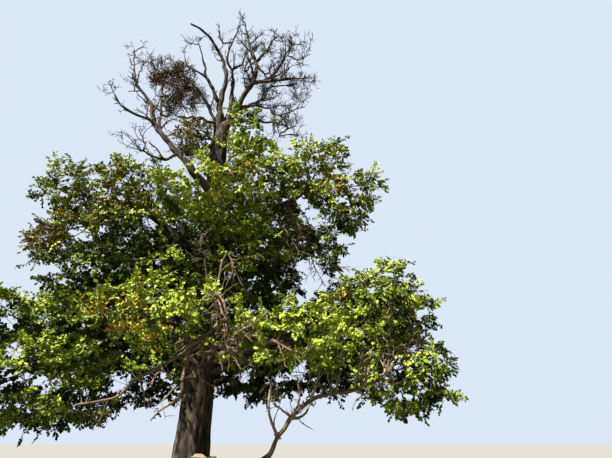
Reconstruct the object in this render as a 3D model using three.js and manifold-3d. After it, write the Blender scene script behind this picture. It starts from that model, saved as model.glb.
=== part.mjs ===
import * as THREE from "three";
import { mergeVertices } from "three/addons/utils/BufferGeometryUtils.js";
import Module from "manifold-3d";

// An old stag-headed oak, rooted in level ground: a straight trunk, a full leafy crown round its
// lower two thirds, and a bare dead top above it.
// +Z is up, and the origin is the middle of the flat cut at the foot of the trunk. Seen along +Y,
// +X is to the right. Every size below is in metres, and the meshes come out in millimetres.
const METRE = 1000;
const GAP = 0.0004; // left between pieces that touch

// The trunk, from the ground to the fork of the dead top.
const TRUNK = {
  name: "trunk",
  fork: [-0.17, 0, 14.4],
  leaves: [0.4, 0, 14.4],
  arrives: [-0.1, 0, 14.4],
  radius: [0.56, 0.34],
  sides: 15,
  rings: 9,
};
// The root flare: how far it reaches, as a share of the radius, the height over which it fades, its
// toes and their turn, and the share of the reach that is left between the toes.
const FLARE = { reach: 0.5, height: 0.75, toes: 5, turn: 0.6, between: 0.45 };
// The trunk's flutes: how proud they stand, as a share of the radius, how many there are and how far
// they twist in a metre, and the smaller ones among them.
const FLUTES = { proud: 0.05, count: 3, twist: 0.35 };
const SMALL_FLUTES = { proud: 0.025, count: 5 };

// A limb springs from a carrier at a share of its length and tapers from its first radius to its second.
// A live bough leaves its carrier and arrives at its tip along two headings. A dead limb is crooked, and
// passes some points on its way to its tip, which is the last of them.
const THICK_LIMB = { sides: 6, over: 0.14 };
const THIN_LIMB = { sides: 5 };
const LIMB_RINGS = { length: 0.8, least: 3 };
const COLLAR = { swell: 0.3, reach: 0.1 }; // a limb's swollen foot, as shares of its radius and length
// How far a live bough wanders off its smooth line, as a share of its length, and its waves along X, Y and Z.
const CROOK = { share: 0.012, waves: [11, 9, 13] };

const LEADERS = [
  { name: "long_leader", on: "trunk", at: 0.985, beside: [-0.13, -0.03], radius: [0.16, 0.045],
    through: [[-0.3, 0.1, 16.75], [-0.2, 0.05, 17.3], [-0.55, -0.1, 18.6], [-1.4, -0.6, 19.7],
      [-2.05, -0.8, 20]] },
  { name: "right_leader", on: "trunk", at: 0.985, beside: [0.15, -0.02], radius: [0.155, 0.03],
    through: [[0.3, 0, 14.9], [0.85, 0, 16.35], [1.15, 0, 16.9], [1.2, -0.05, 18.15],
      [0.95, -0.1, 18.9], [0.45, -0.2, 20.95]] },
  { name: "middle_leader", on: "trunk", at: 0.985, beside: [0, 0.16], radius: [0.12, 0.03],
    through: [[0.1, 0.25, 15.5], [-0.05, 0.4, 18.1], [-0.35, 0.3, 18.85], [0.15, 0.1, 20.8]] },
];

const DEAD_LIMBS = [
  { name: "right_arm", on: "right_leader", at: 0.42, radius: [0.11, 0.03],
    through: [[1.6, -0.1, 16.85], [2.8, -0.6, 16.5], [3.55, -0.8, 16.35]] },
  { name: "right_arm_fork", on: "right_arm", at: 0.19, radius: [0.07, 0.022],
    through: [[2.2, -0.4, 17.15], [2.8, -0.8, 17.95], [2.95, -0.9, 18.4]] },
  { name: "upper_right_fork", on: "right_leader", at: 0.6, radius: [0.08, 0.022],
    through: [[1.7, 0.3, 19.6], [2.15, 0.6, 21]] },
  { name: "rear_arm", on: "right_leader", at: 0.14, radius: [0.1, 0.025],
    through: [[1.6, 1, 16.9], [1.75, 1.1, 17.6], [3.15, 1.4, 18.25]] },
  { name: "lower_right_arm", on: "trunk", at: 0.975, radius: [0.11, 0.03],
    through: [[0.45, -0.2, 14.3], [1.85, -0.8, 13.85], [3, -1.4, 12.95]] },
  { name: "left_fork", on: "long_leader", at: 0.21, radius: [0.1, 0.025],
    through: [[-0.65, -0.1, 16.1], [-1.05, -0.3, 16.9], [-1.8, -0.5, 17.35], [-2.05, -0.6, 17.7]] },
  { name: "left_fork_spire", on: "left_fork", at: 0.52, radius: [0.06, 0.022],
    through: [[-1.3, -0.45, 18], [-1.65, -0.6, 19.05]] },
  { name: "left_arm", on: "trunk", at: 0.945, radius: [0.11, 0.04],
    through: [[-0.8, -0.3, 15.2], [-1.5, -0.6, 16.2]] },
  { name: "left_bough", on: "trunk", at: 0.73, radius: [0.17, 0.055],
    through: [[-0.95, -0.6, 11.4], [-2.05, -0.6, 12.75], [-2.9, -0.6, 13.85], [-3.35, -0.45, 15.15],
      [-4.2, -0.4, 16.35]] },
  { name: "left_bough_top", on: "left_bough", at: 1, radius: [0.05, 0.02],
    through: [[-4.4, -0.4, 16.9], [-4.7, -0.4, 18.5]] },
  { name: "left_upright", on: "left_bough", at: 0.555, radius: [0.07, 0.025],
    through: [[-2.95, -0.3, 15.2], [-3.1, -0.15, 16.75]] },
  { name: "left_side_arm", on: "left_bough", at: 0.59, radius: [0.07, 0.02],
    through: [[-3.1, -0.8, 13.95], [-3.6, -1.15, 13.95], [-4.15, -1.45, 14.2], [-4.6, -1.6, 15]] },
  { name: "left_low_arm", on: "left_bough", at: 0.345, radius: [0.07, 0.022],
    through: [[-2.05, -0.9, 11.75], [-2.4, -1.3, 11.65], [-3.1, -1.7, 11.75]] },
  { name: "drooping_limb", on: "upper_right_bough", at: 0.78, radius: [0.07, 0.022],
    through: [[3.65, -1.1, 8.2], [5, -1.2, 6.6]] },
  { name: "broken_bough", on: "trunk", at: 0.43, radius: [0.15, 0.06],
    through: [[0.65, -2.2, 5.6], [1.05, -3, 5.5], [1.3, -3.5, 5.05], [1.7, -4.05, 3.7]] },
  { name: "hanging_limb_left", on: "broken_bough", at: 0.83, radius: [0.065, 0.022],
    through: [[0.7, -4.1, 3.65], [-0.4, -4.1, 3], [-1.05, -4.1, 2.5], [-1.8, -4.2, 2.35]] },
  { name: "hanging_limb_middle", on: "hanging_limb_left", at: 0.3, radius: [0.05, 0.02],
    through: [[0.65, -4.25, 2.85], [0.7, -4.3, 2.6], [0.1, -4.4, 2]] },
  { name: "hanging_limb_right", on: "broken_bough", at: 0.96, radius: [0.05, 0.02],
    through: [[2.5, -4.6, 3.85], [3.45, -5, 3.4]] },
  { name: "sweeping_bough", on: "trunk", at: 0.08, radius: [0.11, 0.025],
    through: [[2.3, -2.8, 1], [2.7, -3, 1.25], [3.05, -3, 1.9], [3.8, -3, 2.55], [5.45, -3, 2.95],
      [6.8, -2.3, 4.25]] },
];

const LIVE_BOUGHS = [
  { name: "upper_left_bough", on: "trunk", at: 0.53, leaves: [-2.5, -0.5, 2.2],
    arrives: [-3, 0, 2.4], tip: [-3, -0.5, 9.9], radius: [0.2, 0.09] },
  { name: "upper_right_bough", on: "trunk", at: 0.55, leaves: [3, -0.8, 1.6],
    arrives: [3.5, -0.3, 3], tip: [3.7, -0.9, 10.4], radius: [0.2, 0.09] },
  { name: "left_side_bough", on: "trunk", at: 0.29, leaves: [-4, -0.6, 1.2],
    arrives: [-4.5, -0.8, 1], tip: [-4.3, -0.9, 5], radius: [0.22, 0.1] },
  { name: "right_side_bough", on: "trunk", at: 0.25, leaves: [5, -1.6, 1.5],
    arrives: [5, -1.5, 1.5], tip: [5.4, -1.6, 4.9], radius: [0.22, 0.09] },
  { name: "front_left_bough", on: "trunk", at: 0.31, leaves: [-0.6, -3, 1.2],
    arrives: [0, -3, -0.6], tip: [-0.3, -3.3, 4.5], radius: [0.17, 0.08] },
  { name: "front_right_bough", on: "trunk", at: 0.27, leaves: [3, -3, 0.8],
    arrives: [3, -3, -0.4], tip: [3.3, -3.5, 4], radius: [0.17, 0.08] },
  { name: "back_left_bough", on: "trunk", at: 0.35, leaves: [-3.4, 2, 1.2],
    arrives: [-3.4, 2.4, 0.8], tip: [-3.9, 2.7, 5.7], radius: [0.2, 0.09] },
  { name: "back_right_bough", on: "trunk", at: 0.32, leaves: [3.8, 1.6, 1.4],
    arrives: [3.8, 1.6, 0.8], tip: [4.2, 1.9, 5.3], radius: [0.2, 0.09] },
  { name: "back_bough", on: "trunk", at: 0.38, leaves: [0, 3.4, 1.6],
    arrives: [0, 3, 1], tip: [0.1, 3.6, 6.3], radius: [0.18, 0.09] },
];

// A mass of foliage is a lumpy, flat-bottomed ball: its middle, its half-sizes and the turn of its lumps.
const FINE_MASS = { over: 2.9, detail: 2, otherwise: 1 };
// Its lumps: how many, their mean height and its swing, how that changes from one lump to the next and
// with the mass's turn, their width, and how far out the mass reaches between them.
const LUMPS = { count: 10, height: 0.192, swing: 0.128, step: 7, turnStep: 5, width: 0.1, base: 0.87 };
const UNDERSIDE = 0.8; // share of its height that a mass has below its middle

const MASSES = [
  { name: "upper_left_top", middle: [-3.5, -0.5, 10.9], half: [1.6, 1.5, 1.3], turn: 0.4 },
  { name: "upper_left_side", middle: [-5.3, -0.7, 10.1], half: [1.1, 1.6, 1.35], turn: 1.9 },
  { name: "upper_left_low", middle: [-3.2, -0.4, 8.5], half: [2.6, 2, 1.5], turn: 2.7 },
  { name: "crown_heart", middle: [0, -1.9, 9.4], half: [1.9, 2, 1.7], turn: 3.3 },
  { name: "crown_peak", middle: [1.3, -0.4, 13.2], half: [1, 1.1, 1.6], turn: 4.2 },
  { name: "upper_middle_right", middle: [2.1, -1.5, 10.3], half: [1.65, 1.8, 1.8], turn: 5.1 },
  { name: "upper_right_top", middle: [4, -0.6, 11.2], half: [1.45, 1.7, 1.4], turn: 0.9 },
  { name: "upper_right_tip", middle: [5.15, -0.7, 9.8], half: [1.25, 1.7, 1.5], turn: 2.2 },
  { name: "drooping_mass", middle: [4.4, -1.2, 7.5], half: [0.72, 0.7, 1.05], turn: 3.8 },
  { name: "olive_clump", middle: [-1, -0.4, 13.1], half: [0.8, 0.75, 0.85], turn: 1.2 },
  { name: "middle_mass", middle: [1.5, -0.5, 7.2], half: [2.2, 1.9, 1.7], turn: 5.7 },
  { name: "heart_left", middle: [-1.5, -0.7, 6.9], half: [1.9, 1.7, 1.5], turn: 2.1 },
  { name: "left_outer_clump", middle: [-6.05, -0.5, 8.25], half: [0.8, 0.75, 0.95], turn: 0.1 },
  { name: "left_shoulder", middle: [-4, -0.6, 6.9], half: [1.7, 1.9, 1.2], turn: 0.8 },
  { name: "left_skirt_top", middle: [-5.1, -0.9, 4.85], half: [2.6, 2.3, 1.3], turn: 1.4 },
  { name: "left_skirt_low", middle: [-4.4, -1.8, 3], half: [2.6, 2.2, 1.4], turn: 2.9 },
  { name: "front_left_mass", middle: [-0.1, -3.9, 4.6], half: [1.9, 1.6, 1.15], turn: 4.6 },
  { name: "front_right_mass", middle: [3.5, -4, 4], half: [2.1, 1.45, 1.1], turn: 0.7 },
  { name: "right_lobe", middle: [6.15, -1.8, 5.4], half: [1.6, 1.9, 1.35], turn: 2.4 },
  { name: "right_skirt", middle: [6.65, -2, 3.2], half: [1.35, 1.9, 1.4], turn: 3.6 },
  { name: "low_left_mass", middle: [-2, 0.3, 3.6], half: [2.1, 1.9, 1.3], turn: 0.3 },
  { name: "low_middle_mass", middle: [2.5, 1.2, 3.8], half: [2.4, 2, 1.35], turn: 1.7 },
  { name: "back_upper_left", middle: [-2, 2.2, 9.1], half: [3.2, 2.6, 2.3], turn: 4.9 },
  { name: "back_upper_right", middle: [1.8, 2.2, 9.6], half: [2.5, 2.6, 2], turn: 0.5 },
  { name: "back_left_mass", middle: [-4.7, 2.6, 5.6], half: [2.7, 2.8, 2.5], turn: 3.1 },
  { name: "back_middle_mass", middle: [0.3, 3.9, 5.7], half: [3, 2.5, 2.8], turn: 2 },
  { name: "back_right_mass", middle: [5, 1.9, 5], half: [2.7, 2.8, 2.15], turn: 5.9 },
  { name: "dead_twig_clump", middle: [-2.45, -0.1, 16.5], half: [1.2, 0.7, 1.8], turn: 1.1 },
];

const FINISHES = {
  bark: { color: 0x5d5145, roughness: 0.95, metalness: 0 },
  deadWood: { color: 0x8c8072, roughness: 0.9, metalness: 0 },
  leaves: { color: 0x6f9a2c, roughness: 0.7, metalness: 0 },
  shadedLeaves: { color: 0x3f6422, roughness: 0.75, metalness: 0 },
  oliveTwigs: { color: 0x7c6f2b, roughness: 0.85, metalness: 0 },
  deadTwigs: { color: 0x5a4736, roughness: 0.95, metalness: 0 },
};
const OLIVE_MASSES = ["olive_clump", "left_outer_clump"];
const SHADED_MASSES = ["middle_mass", "heart_left", "drooping_mass", "low_left_mass", "low_middle_mass"];

const wasm = await Module();
wasm.setup();

// The middle line of the trunk or a live bough: a cubic between two headings, with a slow crook on it that
// is none at both ends.
class LimbLine extends THREE.Curve {
  constructor(foot, leaves, tip, arrives, crook) {
    super();
    this.foot = foot;
    this.leaves = new THREE.Vector3(...leaves);
    this.tip = new THREE.Vector3(...tip);
    this.arrives = new THREE.Vector3(...arrives);
    this.crook = crook * this.foot.distanceTo(this.tip);
  }

  wander(t) {
    const { x, y, z } = this.tip;
    const waves = CROOK.waves.map((wave, k) => Math.sin(wave * t + [x, z, y][k]));
    return new THREE.Vector3(...waves).multiplyScalar(this.crook * Math.sin(Math.PI * t));
  }

  getPoint(t, point = new THREE.Vector3()) {
    const s = 1 - t;
    return point
      .copy(this.wander(t))
      .addScaledVector(this.foot, (1 + 2 * t) * s * s)
      .addScaledVector(this.leaves, t * s * s)
      .addScaledVector(this.tip, t * t * (3 - 2 * t))
      .addScaledVector(this.arrives, -t * t * s);
  }
}

// A closed mesh in metres as a solid in millimetres.
function toSolid(geometry) {
  geometry.deleteAttribute("normal");
  geometry.deleteAttribute("uv");
  geometry.scale(METRE, METRE, METRE);
  const merged = mergeVertices(geometry, 1e-3);
  return new wasm.Manifold(
    new wasm.Mesh({
      numProp: 3,
      vertProperties: merged.attributes.position.array,
      triVerts: new Uint32Array(merged.index.array),
    }),
  );
}

// Bends a unit cylinder along a line. place(ring, frames, x, z) gives the offset from the line, in
// metres, of a point of the ring's unit section, and grow moves both ends out.
function bentCylinder(line, sides, rings, place, grow) {
  const geometry = new THREE.CylinderGeometry(1, 1, 1, sides, rings);
  const position = geometry.getAttribute("position");
  const frames = line.computeFrenetFrames(rings, false);
  for (let i = 0; i < position.count; i++) {
    const t = position.getY(i) + 0.5;
    const ring = Math.round(t * rings);
    const end = ring === 0 ? -grow : ring === rings ? grow : 0;
    const point = line
      .getPointAt(ring / rings)
      .add(place(ring, frames, position.getX(i), position.getZ(i)))
      .addScaledVector(frames.tangents[ring], end);
    position.setXYZ(i, point.x, point.y, point.z);
  }
  return geometry;
}

// How much wider the trunk is than its taper, at a height and a heading: toes at the ground, flutes above.
function trunkSwell(height, heading) {
  const foot = Math.exp(-height / FLARE.height);
  const toe = (1 + Math.cos(FLARE.toes * heading + FLARE.turn)) / 2;
  const flare = FLARE.reach * foot * THREE.MathUtils.lerp(FLARE.between, 1, toe);
  const flute = FLUTES.proud * Math.sin(FLUTES.count * heading + FLUTES.twist * height);
  return 1 + flare + flute + SMALL_FLUTES.proud * Math.sin(SMALL_FLUTES.count * heading);
}

function trunkSolid(line, grow) {
  const { sides, rings, radius } = TRUNK;
  const place = (ring, frames, x, z) => {
    const taper = THREE.MathUtils.lerp(radius[0], radius[1], ring / rings);
    const heading = Math.atan2(-z, x);
    const height = (ring / rings) * TRUNK.fork[2];
    const reach = (taper * trunkSwell(height, heading) + grow) * Math.hypot(x, z);
    return new THREE.Vector3(reach * Math.cos(heading), reach * Math.sin(heading), 0);
  };
  return toSolid(bentCylinder(line, sides, rings, place, grow));
}

function limbSolid(line, radius, grow) {
  const { sides } = radius[0] > THICK_LIMB.over ? THICK_LIMB : THIN_LIMB;
  const rings = Math.max(LIMB_RINGS.least, Math.round(line.getLength() / LIMB_RINGS.length));
  const place = (ring, frames, x, z) => {
    const t = ring / rings;
    const taper = THREE.MathUtils.lerp(radius[0], radius[1], t);
    const reach = taper * (1 + COLLAR.swell * Math.exp(-t / COLLAR.reach)) + grow;
    return new THREE.Vector3()
      .addScaledVector(frames.binormals[ring], x * reach)
      .addScaledVector(frames.normals[ring], z * reach);
  };
  return toSolid(bentCylinder(line, sides, rings, place, grow));
}

// The directions of a mass's lumps, spread evenly over a ball and turned.
function lumpDirections(turn) {
  const golden = Math.PI * (3 - Math.sqrt(5));
  return Array.from({ length: LUMPS.count }, (_, k) => {
    const z = 1 - (2 * k + 1) / LUMPS.count;
    const heading = golden * k + turn;
    const across = Math.sqrt(1 - z * z);
    const height = LUMPS.height + LUMPS.swing * Math.sin(LUMPS.step * k + LUMPS.turnStep * turn);
    return { way: new THREE.Vector3(across * Math.cos(heading), across * Math.sin(heading), z), height };
  });
}

function massSolid({ middle, half, turn }, grow) {
  const detail = Math.max(...half) > FINE_MASS.over ? FINE_MASS.detail : FINE_MASS.otherwise;
  const geometry = new THREE.IcosahedronGeometry(1, detail);
  const position = geometry.getAttribute("position");
  const lumps = lumpDirections(turn);
  const way = new THREE.Vector3();
  for (let i = 0; i < position.count; i++) {
    way.fromBufferAttribute(position, i).normalize();
    let swell = LUMPS.base;
    for (const lump of lumps) swell += lump.height * Math.exp((way.dot(lump.way) - 1) / LUMPS.width);
    const below = way.z < 0 ? UNDERSIDE : 1;
    position.setXYZ(
      i,
      middle[0] + way.x * (half[0] * swell + grow),
      middle[1] + way.y * (half[1] * swell + grow),
      middle[2] + way.z * (half[2] * swell * below + grow),
    );
  }
  return toSolid(geometry);
}

// The largest body of a cut solid, without the slivers that a cut can leave.
function largestBody(solid) {
  return solid.decompose().reduce((best, body) => (body.volume() > best.volume() ? body : best));
}

function boxesMeet(a, b) {
  const one = a.boundingBox();
  const other = b.boundingBox();
  return [0, 1, 2].every((k) => one.min[k] < other.max[k] && other.min[k] < one.max[k]);
}

// The pieces made so far, and each one grown by the gap, to cut the next ones with.
const pieces = [];

function addPiece(name, finish, solid, grown) {
  const cutters = pieces.filter((piece) => boxesMeet(solid, piece.grown));
  const cut = cutters.reduce((rest, piece) => rest.subtract(piece.grown), solid);
  pieces.push({ name, finish, solid: largestBody(cut), grown });
}

function meshOf({ name, finish, solid }) {
  const { vertProperties, triVerts } = solid.getMesh();
  const geometry = new THREE.BufferGeometry();
  geometry.setAttribute("position", new THREE.BufferAttribute(vertProperties, 3));
  geometry.setIndex(new THREE.BufferAttribute(triVerts, 1));
  geometry.computeVertexNormals();
  const mesh = new THREE.Mesh(geometry, new THREE.MeshStandardMaterial(FINISHES[finish]));
  mesh.name = name;
  return mesh;
}

const lines = new Map();

function addTrunk() {
  const line = new LimbLine(new THREE.Vector3(), TRUNK.leaves, TRUNK.fork, TRUNK.arrives, 0);
  lines.set(TRUNK.name, line);
  addPiece(TRUNK.name, "bark", trunkSolid(line, 0), trunkSolid(line, GAP));
}

function limbLine(foot, { leaves, arrives, tip, through }) {
  if (!through) return new LimbLine(foot, leaves, tip, arrives, CROOK.share);
  return new THREE.CatmullRomCurve3([foot, ...through.map((point) => new THREE.Vector3(...point))]);
}

function addLimb(limb, finish) {
  const { name, on, at, beside = [0, 0], radius } = limb;
  const foot = lines.get(on).getPointAt(at).add(new THREE.Vector3(...beside, 0));
  const line = limbLine(foot, limb);
  lines.set(name, line);
  addPiece(name, finish, limbSolid(line, radius, 0), limbSolid(line, radius, GAP));
}

function massFinish(name) {
  if (name === "dead_twig_clump") return "deadTwigs";
  if (OLIVE_MASSES.includes(name)) return "oliveTwigs";
  return SHADED_MASSES.includes(name) ? "shadedLeaves" : "leaves";
}

function addMass(mass) {
  addPiece(mass.name, massFinish(mass.name), massSolid(mass, 0), massSolid(mass, GAP));
}

addTrunk();
LIVE_BOUGHS.forEach((bough) => addLimb(bough, "bark"));
LEADERS.forEach((leader) => addLimb(leader, "deadWood"));
DEAD_LIMBS.forEach((limb) => addLimb(limb, "deadWood"));
MASSES.forEach(addMass);

const tree = new THREE.Group();
tree.add(...pieces.map(meshOf));

export default tree;
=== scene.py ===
# An old stag-headed oak in summer: bark and dead wood with relief round the limbs' own lines, finer
# dead branches grown on them by a seeded rule, and a crown of boughs, twigs and leaves grown on from
# the live limbs into each mass of foliage.
# Every size is in metres, +Z is up, and seen along +Y, +X is to the right.
import math

import bmesh
import bpy
import numpy as np
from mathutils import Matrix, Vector, noise


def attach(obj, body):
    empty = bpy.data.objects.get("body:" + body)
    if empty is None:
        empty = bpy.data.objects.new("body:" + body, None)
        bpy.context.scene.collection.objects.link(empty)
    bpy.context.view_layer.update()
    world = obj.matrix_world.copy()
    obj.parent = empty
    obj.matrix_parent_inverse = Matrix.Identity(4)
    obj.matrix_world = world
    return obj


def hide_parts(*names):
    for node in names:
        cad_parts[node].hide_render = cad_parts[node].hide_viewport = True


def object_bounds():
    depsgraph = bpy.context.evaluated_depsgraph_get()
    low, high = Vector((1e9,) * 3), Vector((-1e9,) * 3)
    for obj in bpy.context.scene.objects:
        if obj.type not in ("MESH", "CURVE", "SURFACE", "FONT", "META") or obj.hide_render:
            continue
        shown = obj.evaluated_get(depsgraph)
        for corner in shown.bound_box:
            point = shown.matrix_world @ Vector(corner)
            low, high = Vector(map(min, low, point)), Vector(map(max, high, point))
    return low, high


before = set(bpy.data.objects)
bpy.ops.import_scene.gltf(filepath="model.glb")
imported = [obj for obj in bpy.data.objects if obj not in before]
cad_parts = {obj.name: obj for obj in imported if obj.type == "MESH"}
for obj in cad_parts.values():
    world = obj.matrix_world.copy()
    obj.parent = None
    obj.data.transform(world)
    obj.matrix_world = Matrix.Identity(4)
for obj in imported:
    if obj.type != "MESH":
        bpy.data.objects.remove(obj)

cad_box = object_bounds()

SEED = 41
noise.seed_set(SEED)  # without it, the bark's relief would change from run to run
TAU = 2 * math.pi
RIGHT = np.array([1.0, 0.0, 0.0])
AWAY = np.array([0.0, 1.0, 0.0])
UP = np.array([0.0, 0.0, 1.0])
NEARLY_UPRIGHT = 0.05  # a direction whose level part is smaller counts as upright

# The camera stands at eye height in front of the tree and looks up.
CAMERA_PLACE = np.array([3.65, -15.0, 1.6])
CAMERA_PITCH = math.radians(26.5)
CAMERA_LENS = 24.94  # millimetres, as is the sensor's width
CAMERA_SENSOR = 36
CAMERA_SEES = 1000  # how far
SUN_FROM = (-0.46, -0.35, 0.81)  # the way to the key light

# The trunk and the limbs, as in the construction. The trunk and the live boughs leave their carrier
# and arrive at their tip along two headings; a dead limb is crooked, and passes some points on its way
# to its tip, which is the last of them. Each tapers from its first radius to its second.
TRUNK = dict(tip=(-0.17, 0, 14.4), leaves=(0.4, 0, 14.4), arrives=(-0.1, 0, 14.4), radius=(0.56, 0.34))
# The trunk's root flare with its toes and the flutes above it, which stand out by shares of its radius;
# the collar at a limb's foot, which dies away along the limb; and the slow crook of the live boughs.
FLARE = dict(reach=0.5, height=0.75, toes=5, turn=0.6, between=0.45)
FLUTES = dict(proud=0.05, count=3, twist=0.35)
SMALL_FLUTES = dict(proud=0.025, count=5)
COLLAR = dict(swell=0.3, reach=0.1)
CROOK = dict(share=0.012, waves=(11, 9, 13))

# Live boughs: the carrier and the share of its length, the two headings with the tip, and the radii.
LIVE_BOUGHS = {
    "upper_left_bough": ("trunk", 0.53, (-2.5, -0.5, 2.2), (-3, 0, 2.4), (-3, -0.5, 9.9), (0.2, 0.09)),
    "upper_right_bough": ("trunk", 0.55, (3, -0.8, 1.6), (3.5, -0.3, 3), (3.7, -0.9, 10.4), (0.2, 0.09)),
    "left_side_bough": ("trunk", 0.29, (-4, -0.6, 1.2), (-4.5, -0.8, 1), (-4.3, -0.9, 5), (0.22, 0.1)),
    "right_side_bough": ("trunk", 0.25, (5, -1.6, 1.5), (5, -1.5, 1.5), (5.4, -1.6, 4.9), (0.22, 0.09)),
    "front_left_bough": ("trunk", 0.31, (-0.6, -3, 1.2), (0, -3, -0.6), (-0.3, -3.3, 4.5), (0.17, 0.08)),
    "front_right_bough": ("trunk", 0.27, (3, -3, 0.8), (3, -3, -0.4), (3.3, -3.5, 4), (0.17, 0.08)),
    "back_left_bough": ("trunk", 0.35, (-3.4, 2, 1.2), (-3.4, 2.4, 0.8), (-3.9, 2.7, 5.7), (0.2, 0.09)),
    "back_right_bough": ("trunk", 0.32, (3.8, 1.6, 1.4), (3.8, 1.6, 0.8), (4.2, 1.9, 5.3), (0.2, 0.09)),
    "back_bough": ("trunk", 0.38, (0, 3.4, 1.6), (0, 3, 1), (0.1, 3.6, 6.3), (0.18, 0.09)),
}

# Dead limbs: the carrier and the share of its length, the points passed, the radii, how many side
# shoots the limb bears on each metre, and the share of its length from which it bears them.
LEADERS = {
    "long_leader": ("trunk", 0.985, [(-0.3, 0.1, 16.75), (-0.2, 0.05, 17.3), (-0.55, -0.1, 18.6),
        (-1.4, -0.6, 19.7), (-2.05, -0.8, 20)], (0.16, 0.045), 0.5, 0.25),
    "right_leader": ("trunk", 0.985, [(0.3, 0, 14.9), (0.85, 0, 16.35), (1.15, 0, 16.9),
        (1.2, -0.05, 18.15), (0.95, -0.1, 18.9), (0.45, -0.2, 20.95)], (0.155, 0.03), 2.4, 0.3),
    "middle_leader": ("trunk", 0.985, [(0.1, 0.25, 15.5), (-0.05, 0.4, 18.1), (-0.35, 0.3, 18.85),
        (0.15, 0.1, 20.8)], (0.12, 0.03), 1.2, 0.35),
}
LEADER_BESIDE = {"long_leader": (-0.13, -0.03), "right_leader": (0.15, -0.02), "middle_leader": (0, 0.16)}
CROWN_DEAD_LIMBS = {
    "right_arm": ("right_leader", 0.42, [(1.6, -0.1, 16.85), (2.8, -0.6, 16.5),
        (3.55, -0.8, 16.35)], (0.11, 0.03), 4, 0.15),
    "right_arm_fork": ("right_arm", 0.19, [(2.2, -0.4, 17.15), (2.8, -0.8, 17.95),
        (2.95, -0.9, 18.4)], (0.07, 0.022), 4.5, 0.15),
    "upper_right_fork": ("right_leader", 0.6, [(1.7, 0.3, 19.6), (2.15, 0.6, 21)], (0.08, 0.022), 2.6, 0.15),
    "rear_arm": ("right_leader", 0.14, [(1.6, 1, 16.9), (1.75, 1.1, 17.6),
        (3.15, 1.4, 18.25)], (0.1, 0.025), 3.6, 0.3),
    "lower_right_arm": ("trunk", 0.975, [(0.45, -0.2, 14.3), (1.85, -0.8, 13.85),
        (3, -1.4, 12.95)], (0.11, 0.03), 1.4, 0.4),
    "left_fork": ("long_leader", 0.21, [(-0.65, -0.1, 16.1), (-1.05, -0.3, 16.9), (-1.8, -0.5, 17.35),
        (-2.05, -0.6, 17.7)], (0.1, 0.025), 1, 0.5),
    "left_fork_spire": ("left_fork", 0.52, [(-1.3, -0.45, 18), (-1.65, -0.6, 19.05)], (0.06, 0.022), 1, 0.5),
    "left_arm": ("trunk", 0.945, [(-0.8, -0.3, 15.2), (-1.5, -0.6, 16.2)], (0.11, 0.04), 1.5, 0.3),
    "left_bough": ("trunk", 0.73, [(-0.95, -0.6, 11.4), (-2.05, -0.6, 12.75), (-2.9, -0.6, 13.85),
        (-3.35, -0.45, 15.15), (-4.2, -0.4, 16.35)], (0.17, 0.055), 1.2, 0.5),
    "left_bough_top": ("left_bough", 1, [(-4.4, -0.4, 16.9), (-4.7, -0.4, 18.5)], (0.05, 0.02), 2.2, 0.1),
    "left_upright": ("left_bough", 0.555, [(-2.95, -0.3, 15.2), (-3.1, -0.15, 16.75)],
        (0.07, 0.025), 1.2, 0.3),
    "left_side_arm": ("left_bough", 0.59, [(-3.1, -0.8, 13.95), (-3.6, -1.15, 13.95),
        (-4.15, -1.45, 14.2), (-4.6, -1.6, 15)], (0.07, 0.02), 2, 0.4),
    "left_low_arm": ("left_bough", 0.345, [(-2.05, -0.9, 11.75), (-2.4, -1.3, 11.65),
        (-3.1, -1.7, 11.75)], (0.07, 0.022), 2, 0.35),
}
HANGING_DEAD_LIMBS = {
    "drooping_limb": ("upper_right_bough", 0.78, [(3.65, -1.1, 8.2), (5, -1.2, 6.6)], (0.07, 0.022), 2, 0.3),
    "broken_bough": ("trunk", 0.43, [(0.65, -2.2, 5.6), (1.05, -3, 5.5), (1.3, -3.5, 5.05),
        (1.7, -4.05, 3.7)], (0.15, 0.06), 3, 0.5),
    "hanging_limb_left": ("broken_bough", 0.83, [(0.7, -4.1, 3.65), (-0.4, -4.1, 3), (-1.05, -4.1, 2.5),
        (-1.8, -4.2, 2.35)], (0.065, 0.022), 1.3, 0.1),
    "hanging_limb_middle": ("hanging_limb_left", 0.3, [(0.65, -4.25, 2.85), (0.7, -4.3, 2.6),
        (0.1, -4.4, 2)], (0.05, 0.02), 0.8, 0.1),
    "hanging_limb_right": ("broken_bough", 0.96, [(2.5, -4.6, 3.85), (3.45, -5, 3.4)],
        (0.05, 0.02), 2.5, 0.1),
}
LOW_DEAD_LIMBS = {
    "sweeping_bough": ("trunk", 0.08, [(2.3, -2.8, 1), (2.7, -3, 1.25), (3.05, -3, 1.9),
        (3.8, -3, 2.55), (5.45, -3, 2.95), (6.8, -2.3, 4.25)], (0.11, 0.025), 2.6, 0.45),
}

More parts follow.
